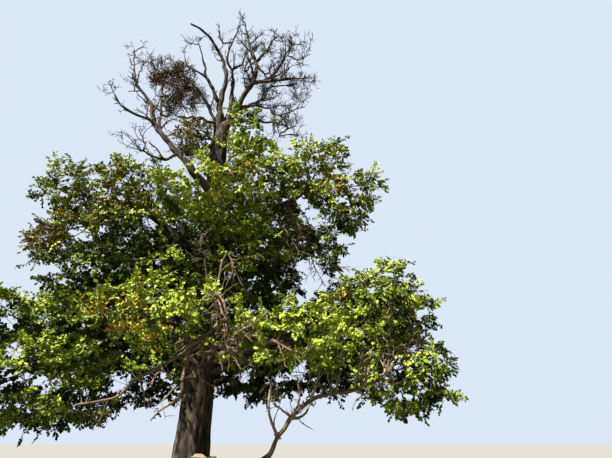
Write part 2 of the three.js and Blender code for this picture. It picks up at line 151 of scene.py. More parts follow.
# Dead side branches that show one by one, by the limb that bears them: the points that each passes on its
# way to its tip, and its radius.
DEAD_BRANCHES = [
    ("middle_leader", [([(-0.6, 0.3, 19.95), (-0.95, 0.3, 20.9)], 0.045),
        ([(0.4, 0.2, 18.3), (0.7, 0.1, 19.15)], 0.06)]),
    ("long_leader", [([(-0.7, -0.2, 18.15)], 0.03)]),
    ("left_fork_spire", [([(-1.85, -0.7, 18.7), (-2.2, -0.8, 18.85)], 0.03)]),
    ("right_arm_fork", [([(3.3, -0.9, 17.4), (3.85, -1.2, 17.45)], 0.04), ([(3.5, -1, 18.3)], 0.03)]),
    ("right_arm", [([(3.55, -0.9, 15.75)], 0.025)]),
    ("right_leader", [([(1.7, 0.4, 17.9), (1.9, 0.5, 18.7)], 0.05),
        ([(0.6, 0.4, 18.1), (0.7, 0.5, 18.8)], 0.04), ([(0.5, 0.1, 17.25)], 0.035)]),
    ("rear_arm", [([(1.25, 0.3, 15.05)], 0.05),
        ([(1.9, 0.2, 15.45), (2.4, -0.6, 14.35), (3.6, -1.4, 14.1)], 0.05),
        ([(2.65, -0.2, 15.25), (3.2, -0.4, 15.15)], 0.025)]),
    ("lower_right_arm", [([(2.95, -1.3, 13.95)], 0.04), ([(2.55, -1.4, 12.6), (3.15, -1.7, 12.4)], 0.04)]),
    ("left_arm", [([(-0.85, -0.7, 14.05), (-1.7, -1.2, 13.75)], 0.08), ([(-1.35, -0.8, 14.85)], 0.035)]),
    ("trunk", [([(-0.95, -0.2, 12.6), (-1.6, -0.6, 12.3)], 0.07), ([(-0.97, -0.5, 13.29)], 0.05)]),
    ("left_bough", [([(-1.8, -0.5, 13.55)], 0.03), ([(-4.25, -0.2, 18.1)], 0.035),
        ([(-4.3, -0.8, 15.55)], 0.035)]),
    ("left_bough_top", [([(-4.25, -0.5, 18.8)], 0.025)]),
    ("left_side_arm", [([(-3.2, -0.9, 14.75)], 0.03)]),
    ("left_low_arm", [([(-2.8, -1.3, 12.2), (-3.15, -1.4, 12.9)], 0.04)]),
    ("broken_bough", [([(1.2, -3.9, 4.55)], 0.07), ([(1, -4.1, 3.55)], 0.07), ([(1.8, -4.2, 3.8)], 0.055),
        ([(2.1, -4.3, 3.1)], 0.03)]),
    ("hanging_limb_left", [([(1.15, -4.3, 3.1)], 0.06), ([(0.5, -4.2, 4.05)], 0.065)]),
    ("broken_bough", [([(1.1, -2.5, 7), (1.55, -2.5, 6.1), (1.8, -2.5, 5.7)], 0.04),
        ([(0.45, -2.5, 6.8), (0.5, -2.5, 7.25)], 0.035)]),
    ("upper_right_bough", [([(3, -1.7, 8.05), (3.45, -1.9, 7.2)], 0.04),
        ([(3.65, -1.2, 8.1), (3.9, -1.4, 7.1), (4.3, -1.5, 6.2)], 0.035)]),
    ("sweeping_bough", [([(5.65, -2.9, 4.15), (5.85, -2.9, 4.7)], 0.03), ([(6.75, -2.7, 3.8)], 0.03),
        ([(6.1, -3.2, 3.65)], 0.03), ([(2.75, -3, 2.55)], 0.035), ([(4.2, -3.2, 3.25)], 0.02)]),
]
BLUNT_LIMBS = ("long_leader", "hanging_limb_left", "hanging_limb_middle")  # broken off, without a thin end
LIVE_CARRIERS = ["trunk", *LIVE_BOUGHS]

# The masses of foliage, as in the construction: each is a lumpy, flat-bottomed ball with a middle,
# half-sizes and a turn of its lumps.
MASSES = {
    "upper_left_top": ((-3.5, -0.5, 10.9), (1.6, 1.5, 1.3), 0.4),
    "upper_left_side": ((-5.3, -0.7, 10.1), (1.1, 1.6, 1.35), 1.9),
    "upper_left_low": ((-3.2, -0.4, 8.5), (2.6, 2, 1.5), 2.7),
    "crown_heart": ((0, -1.9, 9.4), (1.9, 2, 1.7), 3.3),
    "crown_peak": ((1.3, -0.4, 13.2), (1, 1.1, 1.6), 4.2),
    "upper_middle_right": ((2.1, -1.5, 10.3), (1.65, 1.8, 1.8), 5.1),
    "upper_right_top": ((4, -0.6, 11.2), (1.45, 1.7, 1.4), 0.9),
    "upper_right_tip": ((5.15, -0.7, 9.8), (1.25, 1.7, 1.5), 2.2),
    "drooping_mass": ((4.4, -1.2, 7.5), (0.72, 0.7, 1.05), 3.8),
    "olive_clump": ((-1, -0.4, 13.1), (0.8, 0.75, 0.85), 1.2),
    "middle_mass": ((1.5, -0.5, 7.2), (2.2, 1.9, 1.7), 5.7),
    "heart_left": ((-1.5, -0.7, 6.9), (1.9, 1.7, 1.5), 2.1),
    "left_outer_clump": ((-6.05, -0.5, 8.25), (0.8, 0.75, 0.95), 0.1),
    "left_shoulder": ((-4, -0.6, 6.9), (1.7, 1.9, 1.2), 0.8),
    "left_skirt_top": ((-5.1, -0.9, 4.85), (2.6, 2.3, 1.3), 1.4),
    "left_skirt_low": ((-4.4, -1.8, 3), (2.6, 2.2, 1.4), 2.9),
    "front_left_mass": ((-0.1, -3.9, 4.6), (1.9, 1.6, 1.15), 4.6),
    "front_right_mass": ((3.5, -4, 4), (2.1, 1.45, 1.1), 0.7),
    "right_lobe": ((6.15, -1.8, 5.4), (1.6, 1.9, 1.35), 2.4),
    "right_skirt": ((6.65, -2, 3.2), (1.35, 1.9, 1.4), 3.6),
    "low_left_mass": ((-2, 0.3, 3.6), (2.1, 1.9, 1.3), 0.3),
    "low_middle_mass": ((2.5, 1.2, 3.8), (2.4, 2, 1.35), 1.7),
    "back_upper_left": ((-2, 2.2, 9.1), (3.2, 2.6, 2.3), 4.9),
    "back_upper_right": ((1.8, 2.2, 9.6), (2.5, 2.6, 2), 0.5),
    "back_left_mass": ((-4.7, 2.6, 5.6), (2.7, 2.8, 2.5), 3.1),
    "back_middle_mass": ((0.3, 3.9, 5.7), (3, 2.5, 2.8), 2),
    "back_right_mass": ((5, 1.9, 5), (2.7, 2.8, 2.15), 5.9),
}
MASS_NAMES = list(MASSES)
OLIVE_MASSES = ["olive_clump", "left_outer_clump"]
# The lumps of each mass: how many there are, how high they stand and how that changes from lump to lump
# and mass to mass, how wide they are, and the share of its half-sizes that a mass has between them.
LUMPS = dict(count=10, height=0.192, swing=0.128, step=7, turn_step=5, width=0.1, base=0.87)
UNDERSIDE = 0.8  # share of its height that a mass has below its middle
DEAD_CLUMP = "dead_twig_clump"


# Small helpers for places and directions

def unit(vectors):
    lengths = np.linalg.norm(vectors, axis=-1, keepdims=True)
    return vectors / np.maximum(lengths, 1e-9)


def across(vectors):
    """A level direction square to each vector, or along X where it stands upright."""
    level = np.cross(UP, vectors)
    upright = np.linalg.norm(level, axis=-1, keepdims=True) < NEARLY_UPRIGHT
    return unit(np.where(upright, RIGHT, level))


def along(values, share):
    """The value at a share of a list whose points are evenly spaced along a limb."""
    place = min(max(share, 0), 1) * (len(values) - 1)
    low = min(int(place), len(values) - 2)
    return values[low] + (values[low + 1] - values[low]) * (place - low)


def evenly(points, count):
    """Count points at even distances along the line through the points."""
    points = np.asarray(points, float)
    gone = np.r_[0, np.cumsum(np.linalg.norm(np.diff(points, axis=0), axis=1))]
    wanted = np.linspace(0, gone[-1], count)
    return np.stack([np.interp(wanted, gone, points[:, k]) for k in range(3)], axis=1)


# The limbs' lines

LINE_POINTS = 241
STRETCH_POINTS = 24  # between two points that a dead limb passes


def cubic(start, leaves, end, arrives, t):
    """Points between start and end of a curve that leaves and arrives along two headings."""
    s = 1 - t
    return start * (1 + 2 * t) * s * s + leaves * t * s * s + end * t * t * (3 - 2 * t) - arrives * t * t * s


def bough_line(foot, leaves, tip, arrives, crook):
    """The middle line of the trunk or a live bough: smooth, with a slow crook on it."""
    foot, leaves, tip, arrives = (np.array(v, float) for v in (foot, leaves, tip, arrives))
    t = np.linspace(0, 1, LINE_POINTS)[:, None]
    waves = np.sin(t * CROOK["waves"] + tip[[0, 2, 1]])
    wander = crook * np.linalg.norm(tip - foot) * np.sin(math.pi * t) * waves
    return evenly(cubic(foot, leaves, tip, arrives, t) + wander, LINE_POINTS)


def line_through(points, count):
    """A dead limb's line: a centripetal curve through the points."""
    points = np.array(points, float)
    knots = np.stack([2 * points[0] - points[1], *points, 2 * points[-1] - points[-2]])
    t = np.linspace(0, 1, STRETCH_POINTS)[:, None]
    parts = []
    for a, b, c, d in zip(knots, knots[1:], knots[2:], knots[3:]):
        ab, bc, cd = (math.sqrt(np.linalg.norm(q - p)) for p, q in ((a, b), (b, c), (c, d)))
        leaves = ((b - a) / ab - (c - a) / (ab + bc) + (c - b) / bc) * bc
        arrives = ((c - b) / bc - (d - b) / (bc + cd) + (d - c) / cd) * bc
        parts.append(cubic(b, leaves, c, arrives, t))
    return evenly(np.concatenate(parts), count)


# A dead limb's kinks: the distance between two, the straight stretch at the tip, how far each stands
# off, and the knobs on the radius, with their limits.
KINKS = dict(apart=(0.14, 0.45), straight=0.1, off=0.026, knobs=0.17, knob_limits=(-0.2, 0.4))


def kinked(line, radii, seed):
    """A dead limb's line and radii with small sharp kinks and knobs."""
    rng = np.random.default_rng(seed)
    length = np.linalg.norm(np.diff(line, axis=0), axis=1).sum()
    knots = np.cumsum(rng.uniform(*KINKS["apart"], int(length / KINKS["apart"][0])))
    knots = np.r_[0, knots[knots < length - KINKS["straight"]], length]
    place = np.linspace(0, length, LINE_POINTS)
    offs = rng.normal(0, KINKS["off"], (len(knots), 3))
    offs[[0, -1]] = 0
    swell = 1 + rng.normal(0, KINKS["knobs"], len(knots)).clip(*KINKS["knob_limits"])
    line = line + np.stack([np.interp(place, knots, offs[:, k]) for k in range(3)], axis=1)
    return evenly(line, LINE_POINTS), radii * np.interp(place, knots, swell)


def limb_radii(radius, collar):
    share = np.linspace(0, 1, LINE_POINTS)
    taper = radius[0] + (radius[1] - radius[0]) * share
    return taper * (1 + collar * np.exp(-share / COLLAR["reach"]))


def all_limbs():
    """Each limb's line and radii, by name."""
    line = bough_line((0, 0, 0), TRUNK["leaves"], TRUNK["tip"], TRUNK["arrives"], 0)
    limbs = {"trunk": (line, limb_radii(TRUNK["radius"], 0))}
    for name, (on, at, leaves, arrives, tip, radius) in LIVE_BOUGHS.items():
        line = bough_line(along(limbs[on][0], at), leaves, tip, arrives, CROOK["share"])
        limbs[name] = (line, limb_radii(radius, COLLAR["swell"]))
    for table in (LEADERS, CROWN_DEAD_LIMBS, HANGING_DEAD_LIMBS, LOW_DEAD_LIMBS):
        for name, (on, at, points, radius, _, _) in table.items():
            foot = along(limbs[on][0], at) + np.array([*LEADER_BESIDE.get(name, (0, 0)), 0])
            line = line_through([foot, *points], LINE_POINTS)
            limbs[name] = kinked(line, limb_radii(radius, COLLAR["swell"]), SEED + len(limbs))
    return limbs


# Tubes made from arrays, for what repeats thousands of times

def carried_frames(lines):
    """Headings of lines (N, K, 3), and two directions across them that turn no more than they must."""
    headings = unit(np.gradient(lines, axis=1))
    side = across(headings[:, 0])
    sides = []
    for k in range(lines.shape[1]):
        heading = headings[:, k]
        side = unit(side - heading * np.sum(side * heading, axis=-1, keepdims=True))
        sides.append(side)
    sides = np.stack(sides, axis=1)
    return headings, sides, np.cross(headings, sides)


def cap(rings):
    """Triangles that close rings (N, sides)."""
    first = np.broadcast_to(rings[:, :1], rings[:, 2:].shape)
    return np.stack([first, rings[:, 1:-1], rings[:, 2:]], -1)


def tubes(lines, radii, count, pointed=False):
    """Closed tapering tubes with count sides round lines (N, K, 3), blunt or pointed at the tip."""
    _, side, other = carried_frames(lines)
    turn = np.arange(count) * TAU / count
    ring = np.cos(turn)[:, None] * side[:, :, None] + np.sin(turn)[:, None] * other[:, :, None]
    points = lines[:, :, None] + radii[:, :, None, None] * ring
    if pointed:
        points = points[:, :-1]
    index = np.arange(points.size // 3).reshape(points.shape[:3])
    low, high = index[:, :-1], index[:, 1:]
    low_next, high_next = np.roll(low, -1, axis=2), np.roll(high, -1, axis=2)
    foot, last = index[:, 0], index[:, -1]
    parts = [
        np.stack([low, low_next, high_next], -1),
        np.stack([low, high_next, high], -1),
        cap(foot[:, ::-1]),
    ]
    points = points.reshape(-1, 3)
    if pointed:
        tip = np.broadcast_to(len(points) + np.arange(len(lines))[:, None], last.shape)
        parts.append(np.stack([last, np.roll(last, -1, axis=1), tip], -1))
        points = np.concatenate([points, lines[:, -1]])
    else:
        parts.append(cap(last))
    return points, np.concatenate([part.reshape(-1, 3) for part in parts])


def joined(parts):
    """One list of points and one of triangles from several."""
    points, triangles, before = [], [], 0
    for part_points, part_triangles in parts:
        points.append(part_points)
        triangles.append(part_triangles + before)
        before += len(part_points)
    return np.concatenate(points), np.concatenate(triangles)


def add_piece(name, points, triangles, material, slot, stands_for):
    mesh = bpy.data.meshes.new(name)
    mesh.vertices.add(len(points))
    mesh.vertices.foreach_set("co", points.astype(np.float32).ravel())
    mesh.loops.add(3 * len(triangles))
    mesh.polygons.add(len(triangles))
    mesh.polygons.foreach_set("loop_start", np.arange(0, 3 * len(triangles), 3, dtype=np.int32))
    mesh.loops.foreach_set("vertex_index", triangles.astype(np.int32).ravel())
    mesh.update(calc_edges=True)
    mesh.materials.append(material)
    piece = bpy.data.objects.new(name, mesh)
    bpy.context.scene.collection.objects.link(piece)
    return declare(piece, stands_for)


def declare(piece, stands_for):
    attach(piece, "root")
    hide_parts(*stands_for)
    return piece


# Materials

# The wood of the trunk and the live boughs, of the dead top, and of the dead limbs that hang in the crown:
# the colours of the cracks, the bark and the ridges, the scale of the fine grain round and along a limb,
# and the lichen's colour and the level of noise from which it grows. The cracks' near-black is partly
# painted shade in the cracks and partly the fissures' own darker bark.
WOODS = {
    "bark": dict(
        tones=[(0.006, 0.004, 0.003), (0.038, 0.029, 0.020), (0.15, 0.12, 0.083)],
        grain_scale=(30, 30, 8), lichen=(0.085, 0.080, 0.042), lichen_from=0.66),
    "crown_dead_wood": dict(
        tones=[(0.006, 0.004, 0.003), (0.030, 0.020, 0.012), (0.16, 0.11, 0.068)],
        grain_scale=(40, 40, 8), lichen=(0.20, 0.12, 0.045), lichen_from=0.65),
    # Paler than the dead top's wood: partly the hanging limbs' and the sweeping bough's own weathered
    # colour, partly painted sunlight on limbs that lie in the crown's shadow.
    "hanging_dead_wood": dict(
        tones=[(0.035, 0.025, 0.015), (0.15, 0.113, 0.068), (0.31, 0.235, 0.145)],
        grain_scale=(40, 40, 8), lichen=(0.40, 0.20, 0.05), lichen_from=0.58),
}
# The twigs and the finer dead branches: on the dead top, the hanging limbs and the sweeping bough, then
# the crown's branches and twigs and the dead clump's.
TWIG_COLOURS = {
    "crown_dead_twigs": (0.034, 0.022, 0.014),
    "hanging_dead_twigs": (0.17, 0.125, 0.075),
    "pale_dead_twigs": (0.31, 0.255, 0.175),
    "branch_bark": (0.035, 0.027, 0.020),
    "twig_bark": (0.07, 0.055, 0.027),
    "dry_twigs": (0.085, 0.055, 0.032),
}
WOOD_ROUGHNESS = 0.9
TWIG_ROUGHNESS = 0.8  # of the live twigs and the dry leaves


def new_material(name, colour, roughness=WOOD_ROUGHNESS, specular=0.3):
    material = bpy.data.materials.new(name)
    material.use_nodes = True
    shader = material.node_tree.nodes["Principled BSDF"]
    shader.inputs["Base Color"].default_value = (*colour, 1)
    shader.inputs["Roughness"].default_value = roughness
    shader.inputs["Specular IOR Level"].default_value = specular
    return material


def twig_material(name, roughness=WOOD_ROUGHNESS):
    return new_material(name, TWIG_COLOURS[name], roughness)


def ramp(tree, factor, stops):
    node = tree.nodes.new("ShaderNodeValToRGB")
    ends = node.color_ramp.elements
    while len(ends) < len(stops):
        ends.new(0.5)
    for element, (place, colour) in zip(ends, stops):
        element.position = place
        element.color = (*colour, 1)
    tree.links.new(factor, node.inputs["Fac"])
    return node.outputs["Color"]


def scaled(tree, vector, scale):
    node = tree.nodes.new("ShaderNodeMapping")
    node.inputs["Scale"].default_value = scale
    tree.links.new(vector, node.inputs["Vector"])
    return node.outputs["Vector"]


def noise_on(tree, vector, scale, detail=4, rough=0.6):
    node = tree.nodes.new("ShaderNodeTexNoise")
    node.inputs["Scale"].default_value = scale
    node.inputs["Detail"].default_value = detail
    node.inputs["Roughness"].default_value = rough
    tree.links.new(vector, node.inputs["Vector"])
    return node.outputs["Fac"]


def mixed(tree, factor, one, other, blend="MIX"):
    node = tree.nodes.new("ShaderNodeMix")
    node.data_type = "RGBA"
    node.blend_type = blend
    if isinstance(factor, float):
        node.inputs["Factor"].default_value = factor
    else:
        tree.links.new(factor, node.inputs["Factor"])
    tree.links.new(one, node.inputs["A"])
    tree.links.new(other, node.inputs["B"])
    return node.outputs["Result"]


# Where the cracks, the bark and the ridges lie on its height, the grain's dark and pale level and its dark
# tone, and the patches of lichen: their scale, the width of their edges and how much grain they show.
BARK_STOPS = (0.1, 0.45, 0.95)
GRAIN = dict(dark=0.36, pale=0.62, tone=0.30, strength=0.85, relief=0.7, depth=0.02)
LICHEN = dict(scale=3.5, edge=0.06, grain=0.75)
WHITE = (1, 1, 1)


def attribute_in(tree, name, output):
    node = tree.nodes.new("ShaderNodeAttribute")
    node.attribute_name = name
    return node.outputs[output]


def wood_material(name, tones, grain_scale, lichen, lichen_from):
    """Fissured bark or cracked dead wood, with patches of lichen."""
    material = new_material(name, tones[1])
    tree = material.node_tree
    shader = tree.nodes["Principled BSDF"]
    surface = scaled(tree, attribute_in(tree, "round_limb", "Vector"), grain_scale)
    grain = noise_on(tree, surface, 1, detail=8, rough=0.75)
    # The ramp darkens the cracks to near black: partly painted shade in the cracks, partly their own darker
    # bark.
    bark = ramp(tree, attribute_in(tree, "bark_height", "Fac"), list(zip(BARK_STOPS, tones)))
    speckle = ramp(tree, grain, [(GRAIN["dark"], [GRAIN["tone"]] * 3), (GRAIN["pale"], WHITE)])
    bark = mixed(tree, GRAIN["strength"], bark, speckle, "MULTIPLY")
    body = tree.nodes.new("ShaderNodeTexCoord").outputs["Object"]
    patches = noise_on(tree, body, LICHEN["scale"], detail=5)
    grown = ramp(tree, patches, [(lichen_from, (0, 0, 0)), (lichen_from + LICHEN["edge"], WHITE)])
    cover = tree.nodes.new("ShaderNodeRGB")
    cover.outputs[0].default_value = (*lichen, 1)
    tinted = mixed(tree, LICHEN["grain"], cover.outputs[0], speckle, "MULTIPLY")
    tree.links.new(mixed(tree, grown, bark, tinted), shader.inputs["Base Color"])
    bump = tree.nodes.new("ShaderNodeBump")
    bump.inputs["Strength"].default_value = GRAIN["relief"]
    bump.inputs["Distance"].default_value = GRAIN["depth"]
    tree.links.new(grain, bump.inputs["Height"])
    tree.links.new(bump.outputs["Normal"], shader.inputs["Normal"])
    return material


# The trunk and the limbs, with the relief of their bark

# The bark's ridges in a metre, round a limb and along it, and how deep the cracks between them are.
TRUNK_BARK = dict(round=10, along=1.7, depth=0.045)
BOUGH_BARK = dict(round=11, along=2.4, depth=0.022)
DEAD_BARK = dict(round=13, along=2.2, depth=0.018)
ON_RADIUS = 0.8  # the height of bark that lies on a limb's own radius
DEEPEST = 0.3  # share of a limb's radius that a crack goes in at most

# How the ridges of all bark meander and how steep they are, and the small ridges between them.
RIDGES = dict(meander=0.5, meander_scale=0.7, steep=3.4)
SMALL_RIDGES = dict(scale=2.3, shift=(7, 3, 5), steep=3.0, share=0.3)

# How finely the trunk and the limbs are cut, and the radius from which a limb counts as thick.
TRUNK_MESH = dict(sides=72, ring_length=0.07)
LIMB_MESH = dict(sides=12, thick_sides=20, thick=0.19, ring_length=0.1)
LEAST_RINGS = 8


def bark_height(place, bark):
    """How high the bark stands at a place round a limb: 0 in a crack, 1 on a ridge."""
    stretched = Vector((place[0] * bark["round"], place[1] * bark["round"], place[2] * bark["along"]))
    bent = stretched + RIDGES["meander"] * noise.noise_vector(stretched * RIDGES["meander_scale"])
    ridge = min(1, RIDGES["steep"] * abs(noise.noise(bent)))
    finer = bent * SMALL_RIDGES["scale"] + Vector(SMALL_RIDGES["shift"])
    small = min(1, SMALL_RIDGES["steep"] * abs(noise.noise(finer)))
    return (1 - SMALL_RIDGES["share"]) * ridge + SMALL_RIDGES["share"] * small


def trunk_swell(height, heading):
    foot = math.exp(-height / FLARE["height"])
    toe = (1 + math.cos(FLARE["toes"] * heading + FLARE["turn"])) / 2
    flare = FLARE["reach"] * foot * (FLARE["between"] + (1 - FLARE["between"]) * toe)
    flute = FLUTES["proud"] * math.sin(FLUTES["count"] * heading + FLUTES["twist"] * height)
    return 1 + flare + flute + SMALL_FLUTES["proud"] * math.sin(SMALL_FLUTES["count"] * heading)


def ringed_cylinder(name, sides, rings):
    """A unit cylinder with its wall cut into rings."""
    bpy.ops.object.select_all(action="DESELECT")
    bpy.ops.mesh.primitive_cylinder_add(vertices=sides, radius=1, depth=1, end_fill_type="TRIFAN")
    piece = bpy.context.object
    piece.name = name
    piece.data.name = name
    bpy.ops.object.mode_set(mode="EDIT")
    bpy.ops.mesh.select_mode(type="EDGE")
    bpy.ops.mesh.select_all(action="DESELECT")
    shape = bmesh.from_edit_mesh(piece.data)
    for edge in shape.edges:
        edge.select_set(abs(edge.verts[0].co.z - edge.verts[1].co.z) > 0.5)
    bmesh.update_edit_mesh(piece.data)
    bpy.ops.mesh.subdivide(number_cuts=rings - 1)
    bpy.ops.object.mode_set(mode="OBJECT")
    return piece


def bent_limb(name, line, radii, sides, ring_length, bark, swell=None):
    """A limb's mesh: a cylinder cut into rings, bent along the line, with the bark's relief on it."""
    length = np.linalg.norm(np.diff(line, axis=0), axis=1).sum()
    rings = max(LEAST_RINGS, round(length / ring_length))
    piece = ringed_cylinder(name, sides, rings)
    mesh = piece.data
    _, side, other = (part[0] for part in carried_frames(line[None]))
    if swell:
        side, other = np.tile(RIGHT, (len(line), 1)), np.tile(AWAY, (len(line), 1))
    places, heights = [], []
    for vertex in mesh.vertices:
        share = round((vertex.co.z + 0.5) * rings) / rings
        heading = math.atan2(vertex.co.y, vertex.co.x)
        rim = min(1, math.hypot(vertex.co.x, vertex.co.y))
        radius = along(radii, share)
        place = (math.cos(heading) * radius, math.sin(heading) * radius, share * length)
        height = bark_height(place, bark)
        reach = radius * (swell(share * length, heading) if swell else 1)
        reach = (reach + min(bark["depth"], DEEPEST * radius) * (height - ON_RADIUS)) * rim
        vertex.co = (along(line, share) + reach * math.cos(heading) * along(side, share)
                     + reach * math.sin(heading) * along(other, share))
        places.append(place)
        heights.append(height)
    attribute = mesh.attributes.new("round_limb", "FLOAT_VECTOR", "POINT")
    attribute.data.foreach_set("vector", np.array(places, np.float32).ravel())
    attribute = mesh.attributes.new("bark_height", "FLOAT", "POINT")
    attribute.data.foreach_set("value", np.array(heights, np.float32))
    bpy.ops.object.modifier_add(type="SUBSURF")
    piece.modifiers[-1].levels = 1
    piece.modifiers[-1].render_levels = 1
    bpy.ops.object.modifier_apply(modifier=piece.modifiers[-1].name)
    bpy.ops.object.shade_smooth()
    return piece


# The trunk's top thins out between the leaders, whose feet reach down into it.
TRUNK_END = dict(length=1.0, share=0.15, fullness=0.6)
LEADER_ROOT = dict(share=0.88, radius=1.0)


def thinned_out(line, radii):
    """The trunk's radii, which shrink to a share over its last stretch."""
    below = np.clip((line[-1, 2] - line[:, 2]) / TRUNK_END["length"], 0, 1)
    return radii * (TRUNK_END["share"] + (1 - TRUNK_END["share"]) * below ** TRUNK_END["fullness"])


def rooted(trunk, line, radii):
    """A leader's line and radii with its foot lengthened down into the trunk."""
    start = along(trunk, LEADER_ROOT["share"])
    gone = np.linalg.norm(line[0] - start)
    length = np.linalg.norm(np.diff(line, axis=0), axis=1).sum()
    longer = evenly([start, *line], LINE_POINTS)
    place = np.linspace(0, gone + length, LINE_POINTS)
    own = np.interp(place, [0, gone, *np.linspace(gone, gone + length, LINE_POINTS)[1:]],
                    [radii[0] * LEADER_ROOT["radius"], *radii])
    return longer, own


def add_limbs(limbs, bark, crown_wood, hanging_wood):
    line, radii = limbs["trunk"]
    trunk = bent_limb("trunk_bark", line, thinned_out(line, radii), TRUNK_MESH["sides"],
                      TRUNK_MESH["ring_length"], TRUNK_BARK, trunk_swell)
    trunk.data.materials.append(bark)
    declare(trunk, ["trunk"])
    for table, wood, slot, relief in (
        (LIVE_BOUGHS, bark, "bark", BOUGH_BARK),
        (LEADERS, crown_wood, "dead_wood", DEAD_BARK),
        (CROWN_DEAD_LIMBS, crown_wood, "dead_wood", DEAD_BARK),
        (HANGING_DEAD_LIMBS, hanging_wood, "dead_wood", DEAD_BARK),
        (LOW_DEAD_LIMBS, hanging_wood, "dead_wood", DEAD_BARK),
    ):
        for name in table:
            line, radii = limbs[name]
            if name in LEADERS:
                line, radii = rooted(limbs["trunk"][0], line, radii)
            sides = LIMB_MESH["thick_sides" if radii.max() > LIMB_MESH["thick"] else "sides"]
            limb = bent_limb(f"{name}_wood", line, radii, sides, LIMB_MESH["ring_length"], relief)
            limb.data.materials.append(wood)
            declare(limb, [name])


# Finer dead branches and twigs

def sample(values, owner, share):
    """For each i, the value at a share of the line values[owner[i]]."""
    place = np.clip(share, 0, 1) * (values.shape[1] - 1)
    low = np.minimum(place.astype(int), values.shape[1] - 2)
    part = (place - low).reshape(-1, *[1] * (values.ndim - 2))
    return values[owner, low] * (1 - part) + values[owner, low + 1] * part


def crooked_lines(start, heading, length, points, bend, rise, rng):
    """Lines from start whose heading changes at random by about bend a step, and by rise upwards."""
    step = (length / (points - 1))[:, None]
    lines = [start]
    for _ in range(points - 1):
        turned = heading + rng.normal(0, bend, heading.shape) + rise * UP
        heading = unit(turned)
        lines.append(lines[-1] + heading * step)
    return np.stack(lines, axis=1)


# A shoot's length leans to the short end, shrinks towards its owner's tip and is a share of its owner's
# at most. Its radius is a share of its owner's at most, and shrinks to a share at its tip.
SHOOT = dict(lean=1.5, at_foot=1.2, less_at_tip=0.5, longest=0.9, thickest=0.7, tip=0.45)
TWIG_RADIUS = 0.009
TOP = 21.4  # the furthest twig of the dead top
TOP_EASE = 20.6  # shoots above this are eased in under the top
BRANCH_POINTS = 11


def side_shoots(lines, radii, owner, rng, first, rise, length, spread, points, bend, foot):
    """Shoots that spring from the lines of their owners, beyond the share first: their lines and radii.
    length is in metres, spread the angle at which a shoot leaves, and foot its first radius for its
    length."""
    share = first + (1 - first) * rng.random(len(owner))
    start = sample(lines, owner, share)
    tangent = unit(sample(np.gradient(lines, axis=1), owner, share))
    away = unit(rng.normal(0, 1, start.shape))
    away = unit(away - tangent * np.sum(away * tangent, axis=1, keepdims=True))
    angle = np.radians(rng.uniform(*spread, len(owner)))[:, None]
    heading = tangent * np.cos(angle) + away * np.sin(angle)
    owner_length = np.linalg.norm(np.diff(lines, axis=1), axis=2).sum(1)[owner]
    long = length[0] + (length[1] - length[0]) * rng.random(len(owner)) ** SHOOT["lean"]
    long = long * (SHOOT["at_foot"] - SHOOT["less_at_tip"] * share)
    long = np.minimum(long, SHOOT["longest"] * owner_length)
    shoots = under_top(crooked_lines(start, heading, long, points, bend, rise, rng))
    thick = np.minimum(sample(radii, owner, share) * SHOOT["thickest"], foot[0] + foot[1] * long)
    return shoots, np.maximum(thick[:, None] * np.linspace(1, SHOOT["tip"], points), TWIG_RADIUS)


def under_top(lines):
    room = TOP - TOP_EASE
    over = np.maximum(lines[..., 2] - TOP_EASE, 0)
    lines[..., 2] = np.minimum(lines[..., 2], TOP_EASE) + room * (1 - np.exp(-over / room))
    return lines


OVER_BOX = 0.24  # how far a twig may reach past the construction's box


def in_bounds(lines):
    """Which lines keep close to the construction's box."""
    low, high = (np.array(corner) for corner in cad_box)
    return np.all((lines > low - OVER_BOX) & (lines < high + OVER_BOX), axis=(1, 2))


def within_box(lines, radii):
    keep = in_bounds(lines)
    return lines[keep], radii[keep]


def resampled(line, radii, points):
    place = np.linspace(0, 1, points)
    return (np.stack([along(line, share) for share in place]),
            np.array([along(radii, share) for share in place]))


# A side branch strays from its route by a length and by a share of its radius, and shrinks to a share.
SIDE_BRANCH = dict(stray=0.008, stray_share=0.3, tip=0.45, least_tip=0.012)


def branch_from(limbs, on, points, radius):
    """A dead side branch: from the nearest point of its limb through the points given."""
    line = limbs[on][0]
    foot = line[np.argmin(np.linalg.norm(line - np.array(points[0]), axis=1))]
    rng = np.random.default_rng(int(1000 * radius + 100 * abs(points[0][0])))
    route = line_through([foot, *points], BRANCH_POINTS)
    stray = SIDE_BRANCH["stray_share"] * radius + SIDE_BRANCH["stray"]
    route[1:-1] += rng.normal(0, stray, route[1:-1].shape)
    tip = max(SIDE_BRANCH["tip"] * radius, SIDE_BRANCH["least_tip"])
    return route, np.linspace(radius, tip, BRANCH_POINTS)


# Three orders of dead shoots: their lengths, the angles at which they leave, their points, how much they
# bend at each, and their first radius, as a base and more for each metre of their length.
DEAD_SHOOTS = [
    dict(length=(0.25, 1.6), spread=(30, 70), points=8, bend=0.19, foot=(0.016, 0.022)),
    dict(length=(0.2, 0.85), spread=(25, 70), points=5, bend=0.24, foot=(0.012, 0.010)),
    dict(length=(0.12, 0.45), spread=(25, 65), points=3, bend=0.22, foot=(0.009, 0.006)),
]
LATER_FIRST = 0.15  # the share of a shoot from which it bears the next order
BRANCH_SHOOTS = dict(per_metre=1.8, first=0.25)  # on the side branches that show one by one
# Short stubs of lost shoots, thick for their length.
STUBS = dict(length=(0.05, 0.26), spread=(35, 80), points=4, bend=0.3, foot=(0.026, 0.04))
STUBS_PER_METRE = 3.2
STUBS_FIRST = 0.03
